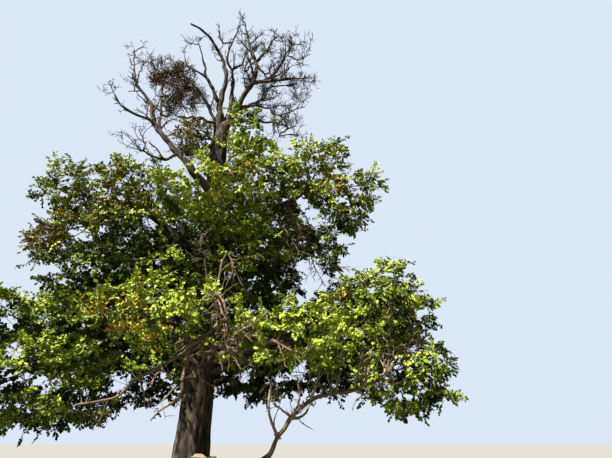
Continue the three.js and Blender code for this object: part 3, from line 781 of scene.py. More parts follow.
# How many shoots of the first and of the second order bear, and to the right of which place the dead top's
# shoots bear more of the second order.
CROWN_COUNTS = (4, 3)
HANGING_COUNTS = (3, 1)
SWEEPING_COUNTS = (4, 2)
CROWDED = dict(beyond=0.6, more=5)
DEAD_RISE = dict(crown=0.10, hanging=-0.06, sweeping=0.13)  # how much a shoot turns up at each point
DEAD_SIDES = dict(branch=7, tip=6, stub=6, orders=(5, 4, 3))
LIMB_TIP = dict(length=(0.25, 0.7), bend=0.18, rise=0.04, sunk=0.02, looks_back=12, foot=0.95, tip=0.35)


def dead_twigs(lines, radii, shoots, firsts, counts, crowded, rng, rise):
    """Three orders of dead shoots. shoots is how many each line bears, from its share firsts, and counts
    how many each shoot of the first and of the second order bears."""
    orders, owners = [], (lines, radii)
    for number, rule in enumerate(DEAD_SHOOTS):
        count = shoots if number == 0 else np.full(len(owners[0]), counts[number - 1])
        if crowded and number == 1:
            count = count + CROWDED["more"] * (owners[0][:, 0, 0] > CROWDED["beyond"])
        owner = np.repeat(np.arange(len(owners[0])), count)
        first = firsts[owner] if number == 0 else LATER_FIRST
        owners = within_box(*side_shoots(*owners, owner, rng, first, rise, **rule))
        orders.append(owners)
    return orders


def limb_tips(limbs, names, rng):
    """The crooked ends on which limbs taper out."""
    start = np.array([limbs[name][0][-1] for name in names])
    heading = unit(start - np.array([limbs[name][0][-LIMB_TIP["looks_back"]] for name in names]))
    lines = crooked_lines(start - LIMB_TIP["sunk"] * heading, heading,
                          rng.uniform(*LIMB_TIP["length"], len(names)), BRANCH_POINTS,
                          LIMB_TIP["bend"], LIMB_TIP["rise"], rng)
    foot = np.array([limbs[name][1][-1] for name in names]) * LIMB_TIP["foot"]
    return under_top(lines), foot[:, None] * np.linspace(1, LIMB_TIP["tip"], BRANCH_POINTS)


def add_dead_twigs(limbs, crown_wood, hanging_wood, pale_wood):
    for name, table, others_bear, counts, material in (
        ("crown", {**LEADERS, **CROWN_DEAD_LIMBS}, ["trunk"], CROWN_COUNTS, crown_wood),
        ("hanging", HANGING_DEAD_LIMBS, LIVE_BOUGHS, HANGING_COUNTS, hanging_wood),
        ("sweeping", LOW_DEAD_LIMBS, [], SWEEPING_COUNTS, pale_wood),
    ):
        rng = np.random.default_rng(SEED + len(name))
        rise = DEAD_RISE[name]
        own = [resampled(*limbs[limb], BRANCH_POINTS) for limb in table]
        noted = [branch_from(limbs, on, *branch) for on, branches in DEAD_BRANCHES
                 if on in [*table, *others_bear] for branch in branches]
        tips = limb_tips(limbs, [limb for limb in table if limb not in BLUNT_LIMBS], rng)
        bare = (np.stack([line for line, _ in noted]), np.stack([radius for _, radius in noted]))
        lines = np.concatenate([np.stack([line for line, _ in own]), bare[0], tips[0]])
        radii = np.concatenate([np.stack([radius for _, radius in own]), bare[1], tips[1]])
        lengths = np.linalg.norm(np.diff(lines, axis=1), axis=2).sum(1)
        others = len(lines) - len(own)
        per_metre = np.array([row[4] for row in table.values()] + [BRANCH_SHOOTS["per_metre"]] * others)
        firsts = np.array([row[5] for row in table.values()] + [BRANCH_SHOOTS["first"]] * others)
        shoots = np.round(lengths * per_metre).astype(int)
        first, second, third = dead_twigs(lines, radii, shoots, firsts, counts, name == "crown", rng, rise)
        owner = np.repeat(np.arange(len(lines)), np.round(lengths * STUBS_PER_METRE).astype(int))
        stubs = within_box(*side_shoots(lines, radii, owner, rng, STUBS_FIRST, rise, **STUBS))
        first, second, third = (tubes(*shoots, sides, pointed=True)
                                for shoots, sides in zip((first, second, third), DEAD_SIDES["orders"]))
        parts = [tubes(*bare, DEAD_SIDES["branch"]), tubes(*tips, DEAD_SIDES["tip"], pointed=True), first,
                 tubes(*stubs, DEAD_SIDES["stub"])]
        add_piece(f"{name}_dead_branches", *joined(parts), material, "dead_wood", list(table))
        add_piece(f"{name}_dead_twigs", *joined([second, third]), material, "dead_wood", list(table))


# The crown: clumps of sprays under the skin of the masses, and the branches that lead to them

CLUMP_SPACING = 0.57
OLIVE_SPACING = 0.36
TRIED_SPACING = 0.2  # between the places on the skin that are tried
SMALL_MASS = 1.6  # mean half-size under which clumps lie nearer to the skin
SUNK = 0.38  # from the skin in to the middle of a clump
DEEPER = 0.3  # how much deeper than that a clump may lie in another mass
UNEVEN = dict(height=0.65, wave=1.3)  # how far the skin wanders in and out, and over what distance
SCATTER = 0.08  # how far a clump strays from its depth
INNER = dict(spacing=0.74, depth=(0.85, 2.6), tries=60000)

# Where sky shows through the crown, seen from the camera: a point of each gap and its radius.
SKY_GAPS = [
    ((-2.57, 0, 9.39), 0.30), ((-3.1, 0, 9.0), 0.18), ((-1.64, -1, 7.27), 0.16),
    ((-5.41, -1.5, 4.12), 0.30), ((-5.93, -1.5, 5.06), 0.30), ((-1.84, -1.8, 3.2), 0.3),
    ((-1.08, -1.8, 3.06), 0.2), ((1.73, -1, 3.44), 0.25), ((2.83, -1, 3.44), 0.25),
    ((3.46, -1, 3.53), 0.3), ((2.78, -1, 9.6), 0.15), ((3.54, -1, 7.04), 0.26),
    ((3.83, -1, 7.16), 0.3), ((4.0, -1, 6.78), 0.34), ((3.75, -1, 6.5), 0.22),
    ((4.24, -1, 6.45), 0.26), ((4.62, -1, 6.49), 0.24), ((3.9, -1, 9.35), 0.1),
    ((4.47, -1, 8.83), 0.15), ((4.72, -1, 8.58), 0.22), ((4.96, -1, 8.17), 0.22),
    ((5.21, -1, 7.97), 0.18), ((-1.54, -1, 11.43), 0.25), ((-1.1, -1, 11.2), 0.2),
    ((-3.02, -1, 11.92), 0.3), ((3.97, -1, 11.48), 0.2), ((-5.87, -1, 10.59), 0.2),
    ((-5.17, -1, 7.04), 0.25), ((2.2, 0, 13.9), 0.35), ((2.65, 0, 13.5), 0.4), ((1.85, 0, 14.6), 0.3),
    ((2.9, 0, 12.9), 0.25), ((1.1, -0.4, 15.35), 0.42),
]

# The dead limbs before which the crown is open, the share of each where that begins, and its width.
SHOWN_LIMBS = [
    ("broken_bough", 0.66, 0.38), ("hanging_limb_left", 0, 0.3), ("hanging_limb_middle", 0, 0.28),
    ("hanging_limb_right", 0, 0.32), ("sweeping_bough", 0.2, 0.36), ("left_bough", 0.08, 0.26),
    ("left_low_arm", 0, 0.3), ("trunk", 0.88, 0.38),
]


def ball_ways(count, turn):
    """Directions spread evenly over a ball."""
    k = np.arange(count)
    z = 1 - (2 * k + 1) / count
    heading = k * math.pi * (3 - math.sqrt(5)) + turn
    level = np.sqrt(1 - z * z)
    return np.stack([level * np.cos(heading), level * np.sin(heading), z], axis=1)


def swell_of(ways, turn):
    """How far a mass reaches along each way, as a share of its half-sizes."""
    lump = np.arange(LUMPS["count"])
    heights = LUMPS["height"] + LUMPS["swing"] * np.sin(LUMPS["step"] * lump + LUMPS["turn_step"] * turn)
    return LUMPS["base"] + np.exp((ways @ ball_ways(LUMPS["count"], turn).T - 1) / LUMPS["width"]) @ heights


def mass_halves(half, ways):
    """The half-sizes of a mass along each way: less below its middle."""
    return np.where(ways[:, 2:] < 0, np.array(half) * [1, 1, UNDERSIDE], half)


def mass_depths(points):
    """How deep each point lies in each mass: (points, masses), below 0 outside."""
    depths = []
    for middle, half, turn in MASSES.values():
        off = points - middle
        scaled_off = off / mass_halves(half, off)
        reach = np.linalg.norm(scaled_off, axis=1)
        swell = swell_of(unit(scaled_off), turn)
        depths.append((swell - reach) * np.linalg.norm(off, axis=1) / reach)
    return np.stack(depths, axis=1)


def thinned(places, spacing, order):
    """The places, taken in the order given, that keep their spacing from those already taken."""
    taken = []
    for k in order:
        if not taken or np.min(np.sum((places[taken] - places[k]) ** 2, axis=1)) > spacing[k] ** 2:
            taken.append(k)
    return np.array(taken)


def in_olive_mass(owners):
    return np.isin(owners, [MASS_NAMES.index(name) for name in OLIVE_MASSES])


def skin_clumps(rng):
    """Clumps close under the crown's skin: places, ways out and masses."""
    places, ways, owners, sunk = [], [], [], []
    for number, (middle, half, turn) in enumerate(MASSES.values()):
        way = ball_ways(int(2 * TAU * np.mean(np.square(half)) / TRIED_SPACING ** 2), number)
        halves = mass_halves(half, way)
        surface = middle + way * halves * swell_of(way, turn)[:, None]
        out = unit(way / halves)
        wander = np.array([noise.noise(Vector(point) / UNEVEN["wave"]) for point in surface])
        share = min(1, np.mean(half) / SMALL_MASS)
        depth = share * (SUNK + UNEVEN["height"] * wander) + rng.normal(0, SCATTER, len(way))
        places.append(surface - out * depth[:, None])
        ways.append(out)
        owners.append(np.full(len(way), number))
        sunk.append(depth)
    places, ways, owners, sunk = (np.concatenate(part) for part in (places, ways, owners, sunk))
    outside = mass_depths(places).max(axis=1) < sunk + DEEPER
    places, ways, owners = places[outside], ways[outside], owners[outside]
    spacing = np.where(in_olive_mass(owners), OLIVE_SPACING, CLUMP_SPACING)
    taken = thinned(places, spacing, rng.permutation(len(places)))
    return places[taken], ways[taken], owners[taken]


def inner_clumps(rng):
    """Clumps deeper in the crown, whose sprays get painted shade in their tones."""
    middles = np.array([middle for middle, _, _ in MASSES.values()])
    halves = np.array([half for _, half, _ in MASSES.values()])
    places = rng.uniform((middles - halves).min(axis=0), (middles + halves).max(axis=0), (INNER["tries"], 3))
    depths = mass_depths(places)
    deep = depths.max(axis=1)
    chosen = (deep > INNER["depth"][0]) & (deep < INNER["depth"][1])
    places, owners = places[chosen], depths[chosen].argmax(axis=1)
    taken = thinned(places, np.full(len(places), INNER["spacing"]), np.arange(len(places)))
    places, owners = places[taken], owners[taken]
    return places, unit(places - middles[owners]), owners


def in_sky_gap(places):
    hidden = np.zeros(len(places), bool)
    for middle, radius in SKY_GAPS:
        sight = unit(np.array(middle) - CAMERA_PLACE)
        off = places - CAMERA_PLACE
        off = off - np.sum(off * sight, axis=1, keepdims=True) * sight
        spread = np.linalg.norm(np.array(middle) - CAMERA_PLACE)
        distance = np.linalg.norm(places - CAMERA_PLACE, axis=1)
        hidden |= np.linalg.norm(off, axis=1) * spread / distance < radius
    return hidden


SHOWN_STEP = 8  # every so many points of a shown limb's line are looked at
SHOWN_BEHIND = 0.15  # how far behind a shown limb the crown is still open
LEFT_BEFORE = 0.07  # the share of sprays that stay before the shown limbs


def before_limbs(places, limbs):
    """Which places would hide the dead limbs that hang in front of the crown."""
    parts = [limbs[name][0][int(LINE_POINTS * begin)::SHOWN_STEP] for name, begin, _ in SHOWN_LIMBS]
    shown = np.concatenate(parts)
    width = np.repeat([row[2] for row in SHOWN_LIMBS], [len(part) for part in parts])
    shown_distance = np.linalg.norm(shown - CAMERA_PLACE, axis=1)
    distance = np.linalg.norm(places - CAMERA_PLACE, axis=1)
    cosine = unit(places - CAMERA_PLACE) @ unit(shown - CAMERA_PLACE).T
    aside = np.sqrt(np.maximum(1 - cosine ** 2, 0)) * shown_distance
    return np.any((aside < width) & (distance[:, None] < shown_distance + SHOWN_BEHIND), axis=1)


# A branch's radius at a single clump, and how it grows with the number of clumps that the branch feeds.
CLUMP_TWIG = 0.010
PIPE = 0.44
FORK_TIP = dict(fed=0.6, radius=0.8)  # at its far end a branch has the radius for a share of its clumps
FORK_POINTS = 5
# Where on the way to the middle of its clumps a branch forks, how far the fork and the branch stray, how
# much the branch rises, how softly it bends, and how its clumps are shared out.
FORK = dict(at=(0.38, 0.6), astray=0.07, wander=0.03, rise=0.25, ease=0.8, split=(0.35, 0.65))
FIRST_TURN = 0.6  # how much a mass's first branch turns from its limb to the mass
LOOK_AHEAD = 5  # points of the limb's line that give its heading
BRANCH_SEED = SEED + 100


def grow(branches, start, heading, targets, rng):
    """Adds the branches that lead from start to the targets, forking on the way."""
    middle = targets.mean(axis=0)
    if len(targets) == 1:
        end = targets[0]
    else:
        end = start + (middle - start) * rng.uniform(*FORK["at"])
        end = end + rng.normal(0, FORK["astray"], 3) * np.linalg.norm(middle - start)
    reach = np.linalg.norm(end - start)
    arrives = unit(end - start + FORK["rise"] * reach * UP)
    t = np.linspace(0, 1, FORK_POINTS)[:, None]
    line = cubic(start, heading * reach * FORK["ease"], end, arrives * reach * FORK["ease"], t)
    line = line + rng.normal(0, FORK["wander"], line.shape) * reach * np.sin(math.pi * t)
    foot = CLUMP_TWIG * len(targets) ** PIPE
    tip = CLUMP_TWIG * max(1, len(targets) * FORK_TIP["fed"]) ** PIPE * FORK_TIP["radius"]
    branches.append((line, np.linspace(foot, tip, FORK_POINTS)))
    if len(targets) == 1:
        return
    off = targets - end
    spread = np.linalg.svd(off - off.mean(axis=0), full_matrices=False)[2][0]
    order = np.argsort(off @ spread)
    cut = min(max(1, round(len(targets) * rng.uniform(*FORK["split"]))), len(targets) - 1)
    onward = unit(line[-1] - line[-2])
    grow(branches, end, onward, targets[order[:cut]], rng)
    grow(branches, end, onward, targets[order[cut:]], rng)


def crown_branches(limbs, places, owners):
    """Branches from the nearest live limbs to every clump of each mass."""
    branches = []
    for number in range(len(MASS_NAMES)):
        rng = np.random.default_rng(BRANCH_SEED + number)
        targets = places[owners == number]
        if not len(targets):
            continue
        middle = targets.mean(axis=0)
        line = min((limbs[carrier][0] for carrier in LIVE_CARRIERS),
                   key=lambda row: np.linalg.norm(row - middle, axis=1).min())
        nearest = int(np.argmin(np.linalg.norm(line - middle, axis=1)))
        nearest = min(nearest, LINE_POINTS - 1 - LOOK_AHEAD)
        tangent = unit(line[nearest + LOOK_AHEAD] - line[nearest])
        heading = unit(tangent + FIRST_TURN * unit(middle - line[nearest]))
        grow(branches, line[nearest], heading, targets, rng)
    return branches


# Sprays: each clump's twigs, with their leaves

SPRAYS = dict(outer=12, inner=8)  # to each clump
SPRAY_POINTS = 3
SPRAY_LENGTH = (0.24, 0.52)
SPRAY_SIZES = (0.75, 1.2)  # from clump to clump
LONG_SPRAYS = dict(share=0.12, times=1.45)
FLATNESS = 0.55  # how high a clump is for its width
SPRAY_WAY = dict(out=0.45, up=0.15, scatter=0.07, bend=0.16, droop=-0.06)
LEAVES = dict(outer=17, inner=7)  # on each spray
LEAF_LENGTH = 0.104
LEAF_SIZES = (0.72, 1.22)
INNER_LEAF = 1.65  # how much larger the leaves deep in the crown are
PATCH_LEAF = 0.75  # and how much smaller those of the olive and ochre patches

# How leaves sit on a spray: where the first one is and how they close up to the tip, the angle at which
# the first leaves and how much less the last one's is, how much they hang and stray, and how they face.
LEAF_PLACE = dict(first=0.2, stray=0.3, close_up=0.8)
LEAF_WAY = dict(angle=80, less=60, late=1.5, hang=0.2, stray=0.33)
LEAF_FACE = dict(up=0.45, out=0.75, spray_stray=0.3, stray=0.65)

# A leaf's outline on one side, from the stalk to the blunt tip, for a length of one, and its curl.
LEAF_HALF = [(0.60, 0.36), (1.0, 0.13)]
LEAF_CURL = 0.22
LEAF_POINTS = 1 + 2 * len(LEAF_HALF)
LEAF_SURFACE = dict(roughness=0.5, specular=0.15)


def leaf_shape():
    """A leaf's points, along, across and up, and its triangles: widest near the tip, and curled down."""
    wide, tip = LEAF_HALF
    flat = [(0, 0), wide, tip, (tip[0], -tip[1]), (wide[0], -wide[1])]
    points = np.array([(x, y, -LEAF_CURL * x * x) for x, y in flat])
    return points, np.array([(0, 2, 1), (0, 3, 2), (0, 4, 3)])


def leaf_points(base, axis, side, normal, size):
    """The points of leaves (leaves, points, 3) that stand at a base and point along an axis."""
    shape, _ = leaf_shape()
    return base[:, None] + size[:, None, None] * (
        shape[:, 0, None] * axis[:, None] + shape[:, 1, None] * side[:, None]
        + shape[:, 2, None] * normal[:, None])


def leaf_triangles(count):
    """The triangles of so many leaves whose points follow on each other."""
    shape, triangles = leaf_shape()
    return (triangles + np.arange(0, count * len(shape), len(shape))[:, None, None]).reshape(-1, 3)


def sprays_of(places, ways, outer, rng):
    """The sprays of all clumps: lines, the way each faces and its clump."""
    owner = np.repeat(np.arange(len(places)), np.where(outer > 0, SPRAYS["outer"], SPRAYS["inner"]))
    way = ways[owner]
    heading = unit(rng.normal(0, 1, way.shape)) * [1, 1, FLATNESS]
    heading = unit(heading + SPRAY_WAY["out"] * way + SPRAY_WAY["up"] * UP)
    start = places[owner] + rng.normal(0, SPRAY_WAY["scatter"], way.shape)
    long = np.where(rng.random(len(owner)) < LONG_SPRAYS["share"], LONG_SPRAYS["times"], 1)
    length = rng.uniform(*SPRAY_LENGTH, len(owner)) * long * rng.uniform(*SPRAY_SIZES, len(places))[owner]
    lines = crooked_lines(start, heading, length, SPRAY_POINTS, SPRAY_WAY["bend"], SPRAY_WAY["droop"], rng)
    return lines, way, owner


def leaves_of(lines, way, scale, count, rng):
    """Points of the leaves of all sprays (sprays, points, 3), count leaves to each."""
    owner = np.repeat(np.arange(len(lines)), count)
    slot = np.tile(np.arange(count), len(lines))
    place = (slot + 0.5 + rng.uniform(-LEAF_PLACE["stray"], LEAF_PLACE["stray"], len(slot))) / count
    share = LEAF_PLACE["first"] + (1 - LEAF_PLACE["first"]) * place ** LEAF_PLACE["close_up"]
    base = sample(lines, owner, share)
    tangent = unit(sample(np.gradient(lines, axis=1), owner, share))
    stray = rng.normal(0, LEAF_FACE["spray_stray"], way.shape)
    face = unit(LEAF_FACE["up"] * UP + LEAF_FACE["out"] * way + stray)[owner]
    lateral = unit(np.cross(tangent, face)) * np.where(slot % 2, 1, -1)[:, None]
    angle = LEAF_WAY["angle"] - LEAF_WAY["less"] * (slot / (count - 1)) ** LEAF_WAY["late"]
    angle = np.radians(angle)[:, None]
    axis = tangent * np.cos(angle) + lateral * np.sin(angle) - LEAF_WAY["hang"] * UP
    axis = unit(axis + rng.normal(0, LEAF_WAY["stray"], axis.shape))
    normal = face + rng.normal(0, LEAF_FACE["stray"], face.shape)
    normal = unit(normal - axis * np.sum(normal * axis, axis=1, keepdims=True))
    other = np.cross(normal, axis)
    size = LEAF_LENGTH * rng.uniform(*LEAF_SIZES, len(slot)) * scale[owner]
    return leaf_points(base, axis, other, normal, size).reshape(len(lines), -1, 3)


# The leaves' colours: lit and shaded copies of one green, from painted sunlight to painted shade, then the
# olive and ochre patches' own colours.
TONES = {
    "leaves_sunlit": (0.38, 0.455, 0.058),
    "leaves_lit": (0.275, 0.345, 0.028),
    "leaves_half_lit": (0.165, 0.23, 0.017),
    "leaves_half_shade": (0.075, 0.115, 0.010),
    "leaves_shade": (0.022, 0.040, 0.005),
    "leaves_olive": (0.155, 0.135, 0.018),
    "leaves_ochre": (0.36, 0.285, 0.018),
}
PATCH_TONES = ("leaves_olive", "leaves_ochre")
OLIVE_TONE, OCHRE_TONE = (list(TONES).index(name) for name in PATCH_TONES)
# the two painted-shade tones of the leaves
SHADED_TONES = ("leaves_half_shade", "leaves_shade")
OCHRE_IN_OLIVE = 0.1  # the share of ochre sprays in the olive clumps
PATCH_DENSE = 0.85  # the share of sprays in the middle of a patch that have its colours

# What makes a spray's painted light brighter: facing up and standing high in its clump, as painted sunlight
# on the tops, and its clump's and its own chance. Lying deep in the crown darkens it, as painted shade. The
# steps part one tone from the next.
LIGHT = dict(faces_up=0.15, stands_high=0.5, clump=0.33, own=0.36, inside=-0.8)
TONE_STEPS = [-0.55, -0.20, 0.15, 0.50]
# Painted light by mass: above 0 the sprays get more painted sunlight, below 0 painted shade, as on the
# shaded middle and low masses.
MASS_PAINTED_LIGHT = {
    "front_left_mass": 0.4, "front_right_mass": 0.4, "left_skirt_low": 0.05, "left_skirt_top": 0.05,
    "right_lobe": 0.25, "right_skirt": 0.05, "upper_left_top": 0.3, "upper_left_side": 0.1,
    "upper_middle_right": 0.35, "upper_right_top": 0.25, "upper_right_tip": 0.1, "crown_heart": 0.5,
    "crown_peak": 0.3, "left_shoulder": -0.1, "middle_mass": -0.15, "heart_left": -0.2,
    "drooping_mass": -0.4, "low_left_mass": -0.4, "low_middle_mass": -0.35,
}

# Patches where the leaves are olive brown or ochre: a middle, a radius and the share of ochre.
PATCHES = [
    ((-4.4, -1.5, 9.5), 1.3, 0.35), ((-3.3, -1.4, 10.3), 1.1, 0.3), ((-2.0, -1.2, 10.3), 1.0, 0.4),
    ((1.0, -3.2, 8.2), 0.9, 0.6), ((4.3, -1.8, 10.6), 1.0, 0.3), ((5.6, -1.5, 10.1), 0.9, 0.3),
    ((-1.2, -4.8, 4.5), 0.75, 0.95), ((-0.7, -5.0, 4.1), 0.75, 0.95), ((4.8, -2.6, 5.6), 0.7, 0.05),
    ((6.8, -3.0, 4.7), 0.8, 0.1), ((1.3, -2.8, 10.2), 0.8, 0.4), ((-5.2, -1.6, 8.4), 0.6, 0.6),
]


def tones_of(lines, places, way, owner, outer, masses, rng):
    """The colour of each spray, as the number of its tone: painted sunlight and painted shade by how it
    faces, how high and deep it lies and its mass, with chance mixed in.
    """
    end = lines[:, -1]
    risen = (end[:, 2] - places[owner, 2]) / SPRAY_LENGTH[1]
    clump_change = rng.normal(0, LIGHT["clump"], len(places))[owner]
    light = np.array([MASS_PAINTED_LIGHT.get(name, 0.0) for name in MASS_NAMES])[masses[owner]]
    light = light + LIGHT["faces_up"] * way[:, 2] + LIGHT["stands_high"] * risen + clump_change
    light = light + rng.normal(0, LIGHT["own"], len(owner)) + LIGHT["inside"] * (1 - outer[owner])
    tone = np.digitize(-light, TONE_STEPS)
    for middle, radius, ochre in PATCHES:
        near = np.exp(-(np.linalg.norm(end - np.array(middle), axis=1) / radius) ** 2)
        changed = rng.random(len(owner)) < PATCH_DENSE * near
        tone = np.where(changed, np.where(rng.random(len(owner)) < ochre, OCHRE_TONE, OLIVE_TONE), tone)
    patch = np.where(rng.random(len(owner)) < OCHRE_IN_OLIVE, OCHRE_TONE, OLIVE_TONE)
    return np.where(in_olive_mass(masses[owner]), patch, tone)


BRANCH_MESH = dict(thick=0.028, thick_sides=6, sides=3)
SPRAY_RADIUS = (0.007, 0.004)


def add_crown(limbs, branch_bark, twig_bark):
    rng = np.random.default_rng(SEED + 2)
    skin, inner = skin_clumps(rng), inner_clumps(rng)
    places, ways, masses = (np.concatenate(pair) for pair in zip(skin, inner))
    outer = np.repeat([1.0, 0.0], [len(skin[0]), len(inner[0])])
    lines, way, owner = sprays_of(places, ways, outer, rng)
    tone = tones_of(lines, places, way, owner, outer, masses, rng)
    keep = ~in_sky_gap(lines[:, -1]) & in_bounds(lines)
    keep &= ~(before_limbs(lines[:, -1], limbs) & (rng.random(len(lines)) < 1 - LEFT_BEFORE))
    branch_lines, branch_radii = (np.stack(part) for part in zip(*crown_branches(limbs, places, masses)))
    thick = branch_radii[:, 0] > BRANCH_MESH["thick"]
    parts = [tubes(branch_lines[chosen], branch_radii[chosen], sides)
             for chosen, sides in ((thick, BRANCH_MESH["thick_sides"]), (~thick, BRANCH_MESH["sides"]))]
    add_piece("crown_branches", *joined(parts), branch_bark, "bark", MASS_NAMES)
    parts = []
    for is_outer, step in ((1.0, 1), (0.0, SPRAY_POINTS - 1)):
        twigs = lines[keep & (outer[owner] == is_outer)][:, ::step]
        radii = np.tile(np.linspace(*SPRAY_RADIUS, twigs.shape[1]), (len(twigs), 1))
        parts.append(tubes(twigs, radii, BRANCH_MESH["sides"], pointed=True))
    add_piece("leaf_twigs", *joined(parts), twig_bark, "bark", MASS_NAMES)
    for number, (name, colour) in enumerate(TONES.items()):
        points, stands_for = [], set()
        for is_outer, count in ((1.0, LEAVES["outer"]), (0.0, LEAVES["inner"])):
            chosen = keep & (tone == number) & (outer[owner] == is_outer)
            if not chosen.any():
                continue
            size = (PATCH_LEAF if name in PATCH_TONES else 1.0) if is_outer else INNER_LEAF
            leaves = leaves_of(lines[chosen], way[chosen], np.full(chosen.sum(), size), count, rng)
            points.append(leaves.reshape(-1, 3))
            stands_for |= set(masses[owner[chosen]])
        points = np.concatenate(points)
        triangles = leaf_triangles(len(points) // LEAF_POINTS)
        material = new_material(name, colour, LEAF_SURFACE["roughness"], LEAF_SURFACE["specular"])
        slot = "shaded_leaves" if name in SHADED_TONES else "leaves"
        slot = "olive_twigs" if name in PATCH_TONES else slot
        add_piece(name, points, triangles, material, slot, [MASS_NAMES[k] for k in sorted(stands_for)])


# The dead twig clump in the bare top

# Its two lumps: the middle and half-sizes of each, and how many hubs, twigs and dry leaves it has.
DEAD_LUMPS = [
    ((-2.9, -0.1, 17.4), (1.15, 0.65, 0.6), 44, 1700),
    ((-2.2, -0.05, 15.95), (0.95, 0.6, 1.1), 52, 1300),
]
HUBS_OUT = 0.42  # at 1/3 the hubs would be spread evenly through a lump; above it they gather in its middle
HUB_BOUGHS = 3  # how many branches share out the hubs of a lump
HUB_BRANCH = dict(radius=0.8, sides=4)
HUB_TWIGS = dict(count=8, length=(0.2, 0.6), points=5, bend=0.3, flat=0.8, radius=(0.011, 0.007), sides=3)
DRY_SHOOTS = dict(length=(0.1, 0.35), spread=(30, 75), first=0.1, points=4, bend=0.3, rise=0.0,
                  foot=(0.008, 0.0))
DRY_SHOOTS_EACH = 5  # on each twig
DRY_LEAF = dict(length=(0.035, 0.08), first=0.2)  # and the share of its shoot from which a leaf may sit
DRY_TONES = {
    "dry_leaves_grey": ((0.19, 0.13, 0.075), 0.35),
    "dry_leaves_brown": ((0.34, 0.18, 0.06), 0.35),
    "dry_leaves_olive": ((0.30, 0.25, 0.06), 0.3),
}
# The limbs that carry the clump, and the point of their lines from which they do.
DEAD_CARRIERS = ("left_fork", "left_arm", "left_upright")
CARRIED_FROM = 60


def add_dead_clump(limbs, material):
    rng = np.random.default_rng(SEED + 3)
    carriers = np.concatenate([limbs[name][0][CARRIED_FROM:] for name in DEAD_CARRIERS])
    branches, twigs, shoots, leaf_owners = [], [], [], []
    for middle, half, hub_count, leaf_count in DEAD_LUMPS:
        way = unit(rng.normal(0, 1, (hub_count, 3)))
        hubs = middle + way * rng.random((hub_count, 1)) ** HUBS_OUT * half
        for part in np.array_split(np.argsort(hubs[:, 0]), HUB_BOUGHS):
            heart = hubs[part].mean(axis=0)
            start = carriers[np.argmin(np.linalg.norm(carriers - heart, axis=1))]
            grow(branches, start, unit(heart - start), hubs[part], rng)
        start = np.repeat(hubs, HUB_TWIGS["count"], axis=0)
        heading = unit(rng.normal(0, 1, start.shape) * [1, 1, HUB_TWIGS["flat"]])
        length = rng.uniform(*HUB_TWIGS["length"], len(start))
        lines = crooked_lines(start, heading, length, HUB_TWIGS["points"], HUB_TWIGS["bend"], 0, rng)
        radii = np.tile(np.linspace(*HUB_TWIGS["radius"], HUB_TWIGS["points"]), (len(lines), 1))
        owner = np.repeat(np.arange(len(lines)), DRY_SHOOTS_EACH)
        second = side_shoots(lines, radii, owner, rng, **DRY_SHOOTS)
        twigs.append((lines, radii))
        shoots.append(second)
        before = sum(len(row[0]) for row in shoots[:-1])
        leaf_owners.append(before + rng.integers(0, len(second[0]), leaf_count))
    twigs, shoots = (tuple(np.concatenate(part) for part in zip(*rows)) for rows in (twigs, shoots))
    lines, radii = (np.stack(part) for part in zip(*branches))
    parts = [
        tubes(lines, radii * HUB_BRANCH["radius"], HUB_BRANCH["sides"]),
        tubes(*twigs, HUB_TWIGS["sides"], pointed=True),
        tubes(*shoots, HUB_TWIGS["sides"], pointed=True),
    ]
    add_piece("dead_clump_twigs", *joined(parts), material, "dead_twigs", [DEAD_CLUMP])
    owners = rng.permutation(np.concatenate(leaf_owners))
    cuts = np.cumsum([int(len(owners) * share) for _, share in DRY_TONES.values()])[:-1]
    for (name, (colour, _)), owner in zip(DRY_TONES.items(), np.split(owners, cuts)):
        base = sample(shoots[0], owner, rng.uniform(DRY_LEAF["first"], 1, len(owner)))
        axis = unit(rng.normal(0, 1, base.shape))
        side = unit(np.cross(axis, rng.normal(0, 1, base.shape)))
        size = rng.uniform(*DRY_LEAF["length"], len(owner))
        points = leaf_points(base, axis, side, np.cross(axis, side), size).reshape(-1, 3)
        add_piece(name, points, leaf_triangles(len(owner)), new_material(name, colour, TWIG_ROUGHNESS),
                  "dead_twigs", [DEAD_CLUMP])


# The studio round the tree

FLOOR_SIZE = 400
FLOOR_TONE = dict(lights=(0.10, 0.10, 0.095), seen=(0.22, 0.22, 0.212))
SUN = dict(energy=13.5, angle=2, colour=(1.0, 0.96, 0.88))
SKY_LIGHT = dict(colour=(0.80, 0.88, 1.0), strength=0.10)
BACKDROP = dict(colour=(0.72, 0.80, 0.92), strength=1.0)


def seen_instead(tree, lights, seen, output):
    """Shows one shader to the camera and lets the other one light the scene."""
    path = tree.nodes.new("ShaderNodeLightPath")
    mix = tree.nodes.new("ShaderNodeMixShader")
    tree.links.new(path.outputs["Is Camera Ray"], mix.inputs["Fac"])
    tree.links.new(lights, mix.inputs[1])
    tree.links.new(seen, mix.inputs[2])
    tree.links.new(mix.outputs["Shader"], tree.nodes[output].inputs["Surface"])


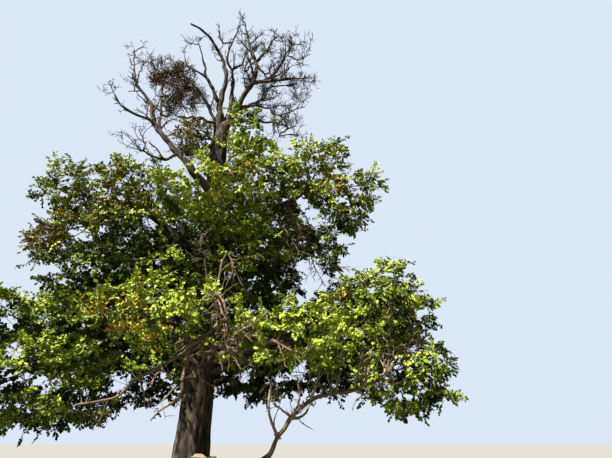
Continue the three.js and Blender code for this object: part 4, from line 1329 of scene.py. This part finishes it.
def floor_material():
    """Pale to the eye, but dark enough not to light the tree from below."""
    material = new_material("floor", FLOOR_TONE["lights"])
    tree = material.node_tree
    pale = tree.nodes.new("ShaderNodeBsdfDiffuse")
    pale.inputs["Color"].default_value = (*FLOOR_TONE["seen"], 1)
    shader = tree.nodes["Principled BSDF"]
    seen_instead(tree, shader.outputs["BSDF"], pale.outputs["BSDF"], "Material Output")
    return material


def background(node, colour, strength):
    node.inputs["Color"].default_value = (*colour, 1)
    node.inputs["Strength"].default_value = strength
    return node.outputs["Background"]


def add_studio():
    bpy.ops.object.select_all(action="DESELECT")
    bpy.ops.mesh.primitive_plane_add(size=FLOOR_SIZE)
    floor = bpy.context.object
    floor.name = "floor"
    floor.data.materials.append(floor_material())
    bpy.ops.object.light_add(type="SUN")
    sun = bpy.context.object
    sun.rotation_euler = Vector(SUN_FROM).to_track_quat("Z", "Y").to_euler()
    sun.data.energy = SUN["energy"]
    sun.data.angle = math.radians(SUN["angle"])
    sun.data.color = SUN["colour"]
    world = bpy.data.worlds.new("studio")
    world.use_nodes = True
    tree = world.node_tree
    sky_light = background(tree.nodes["Background"], **SKY_LIGHT)
    backdrop = background(tree.nodes.new("ShaderNodeBackground"), **BACKDROP)
    seen_instead(tree, sky_light, backdrop, "World Output")
    bpy.context.scene.world = world
    bpy.context.scene.view_settings.view_transform = "Standard"


def add_camera():
    data = bpy.data.cameras.new("camera")
    data.lens = CAMERA_LENS
    data.sensor_width = CAMERA_SENSOR
    data.clip_end = CAMERA_SEES
    camera = bpy.data.objects.new("camera", data)
    camera.location = CAMERA_PLACE
    camera.rotation_euler = (math.pi / 2 + CAMERA_PITCH, 0, 0)
    bpy.context.scene.collection.objects.link(camera)
    bpy.context.scene.camera = camera


add_camera()
add_studio()
limbs = all_limbs()
add_limbs(limbs, *(wood_material(name, **rule) for name, rule in WOODS.items()))
add_dead_twigs(limbs, *map(twig_material, ("crown_dead_twigs", "hanging_dead_twigs", "pale_dead_twigs")))
add_crown(limbs, twig_material("branch_bark"), twig_material("twig_bark", TWIG_ROUGHNESS))
add_dead_clump(limbs, twig_material("dry_twigs"))
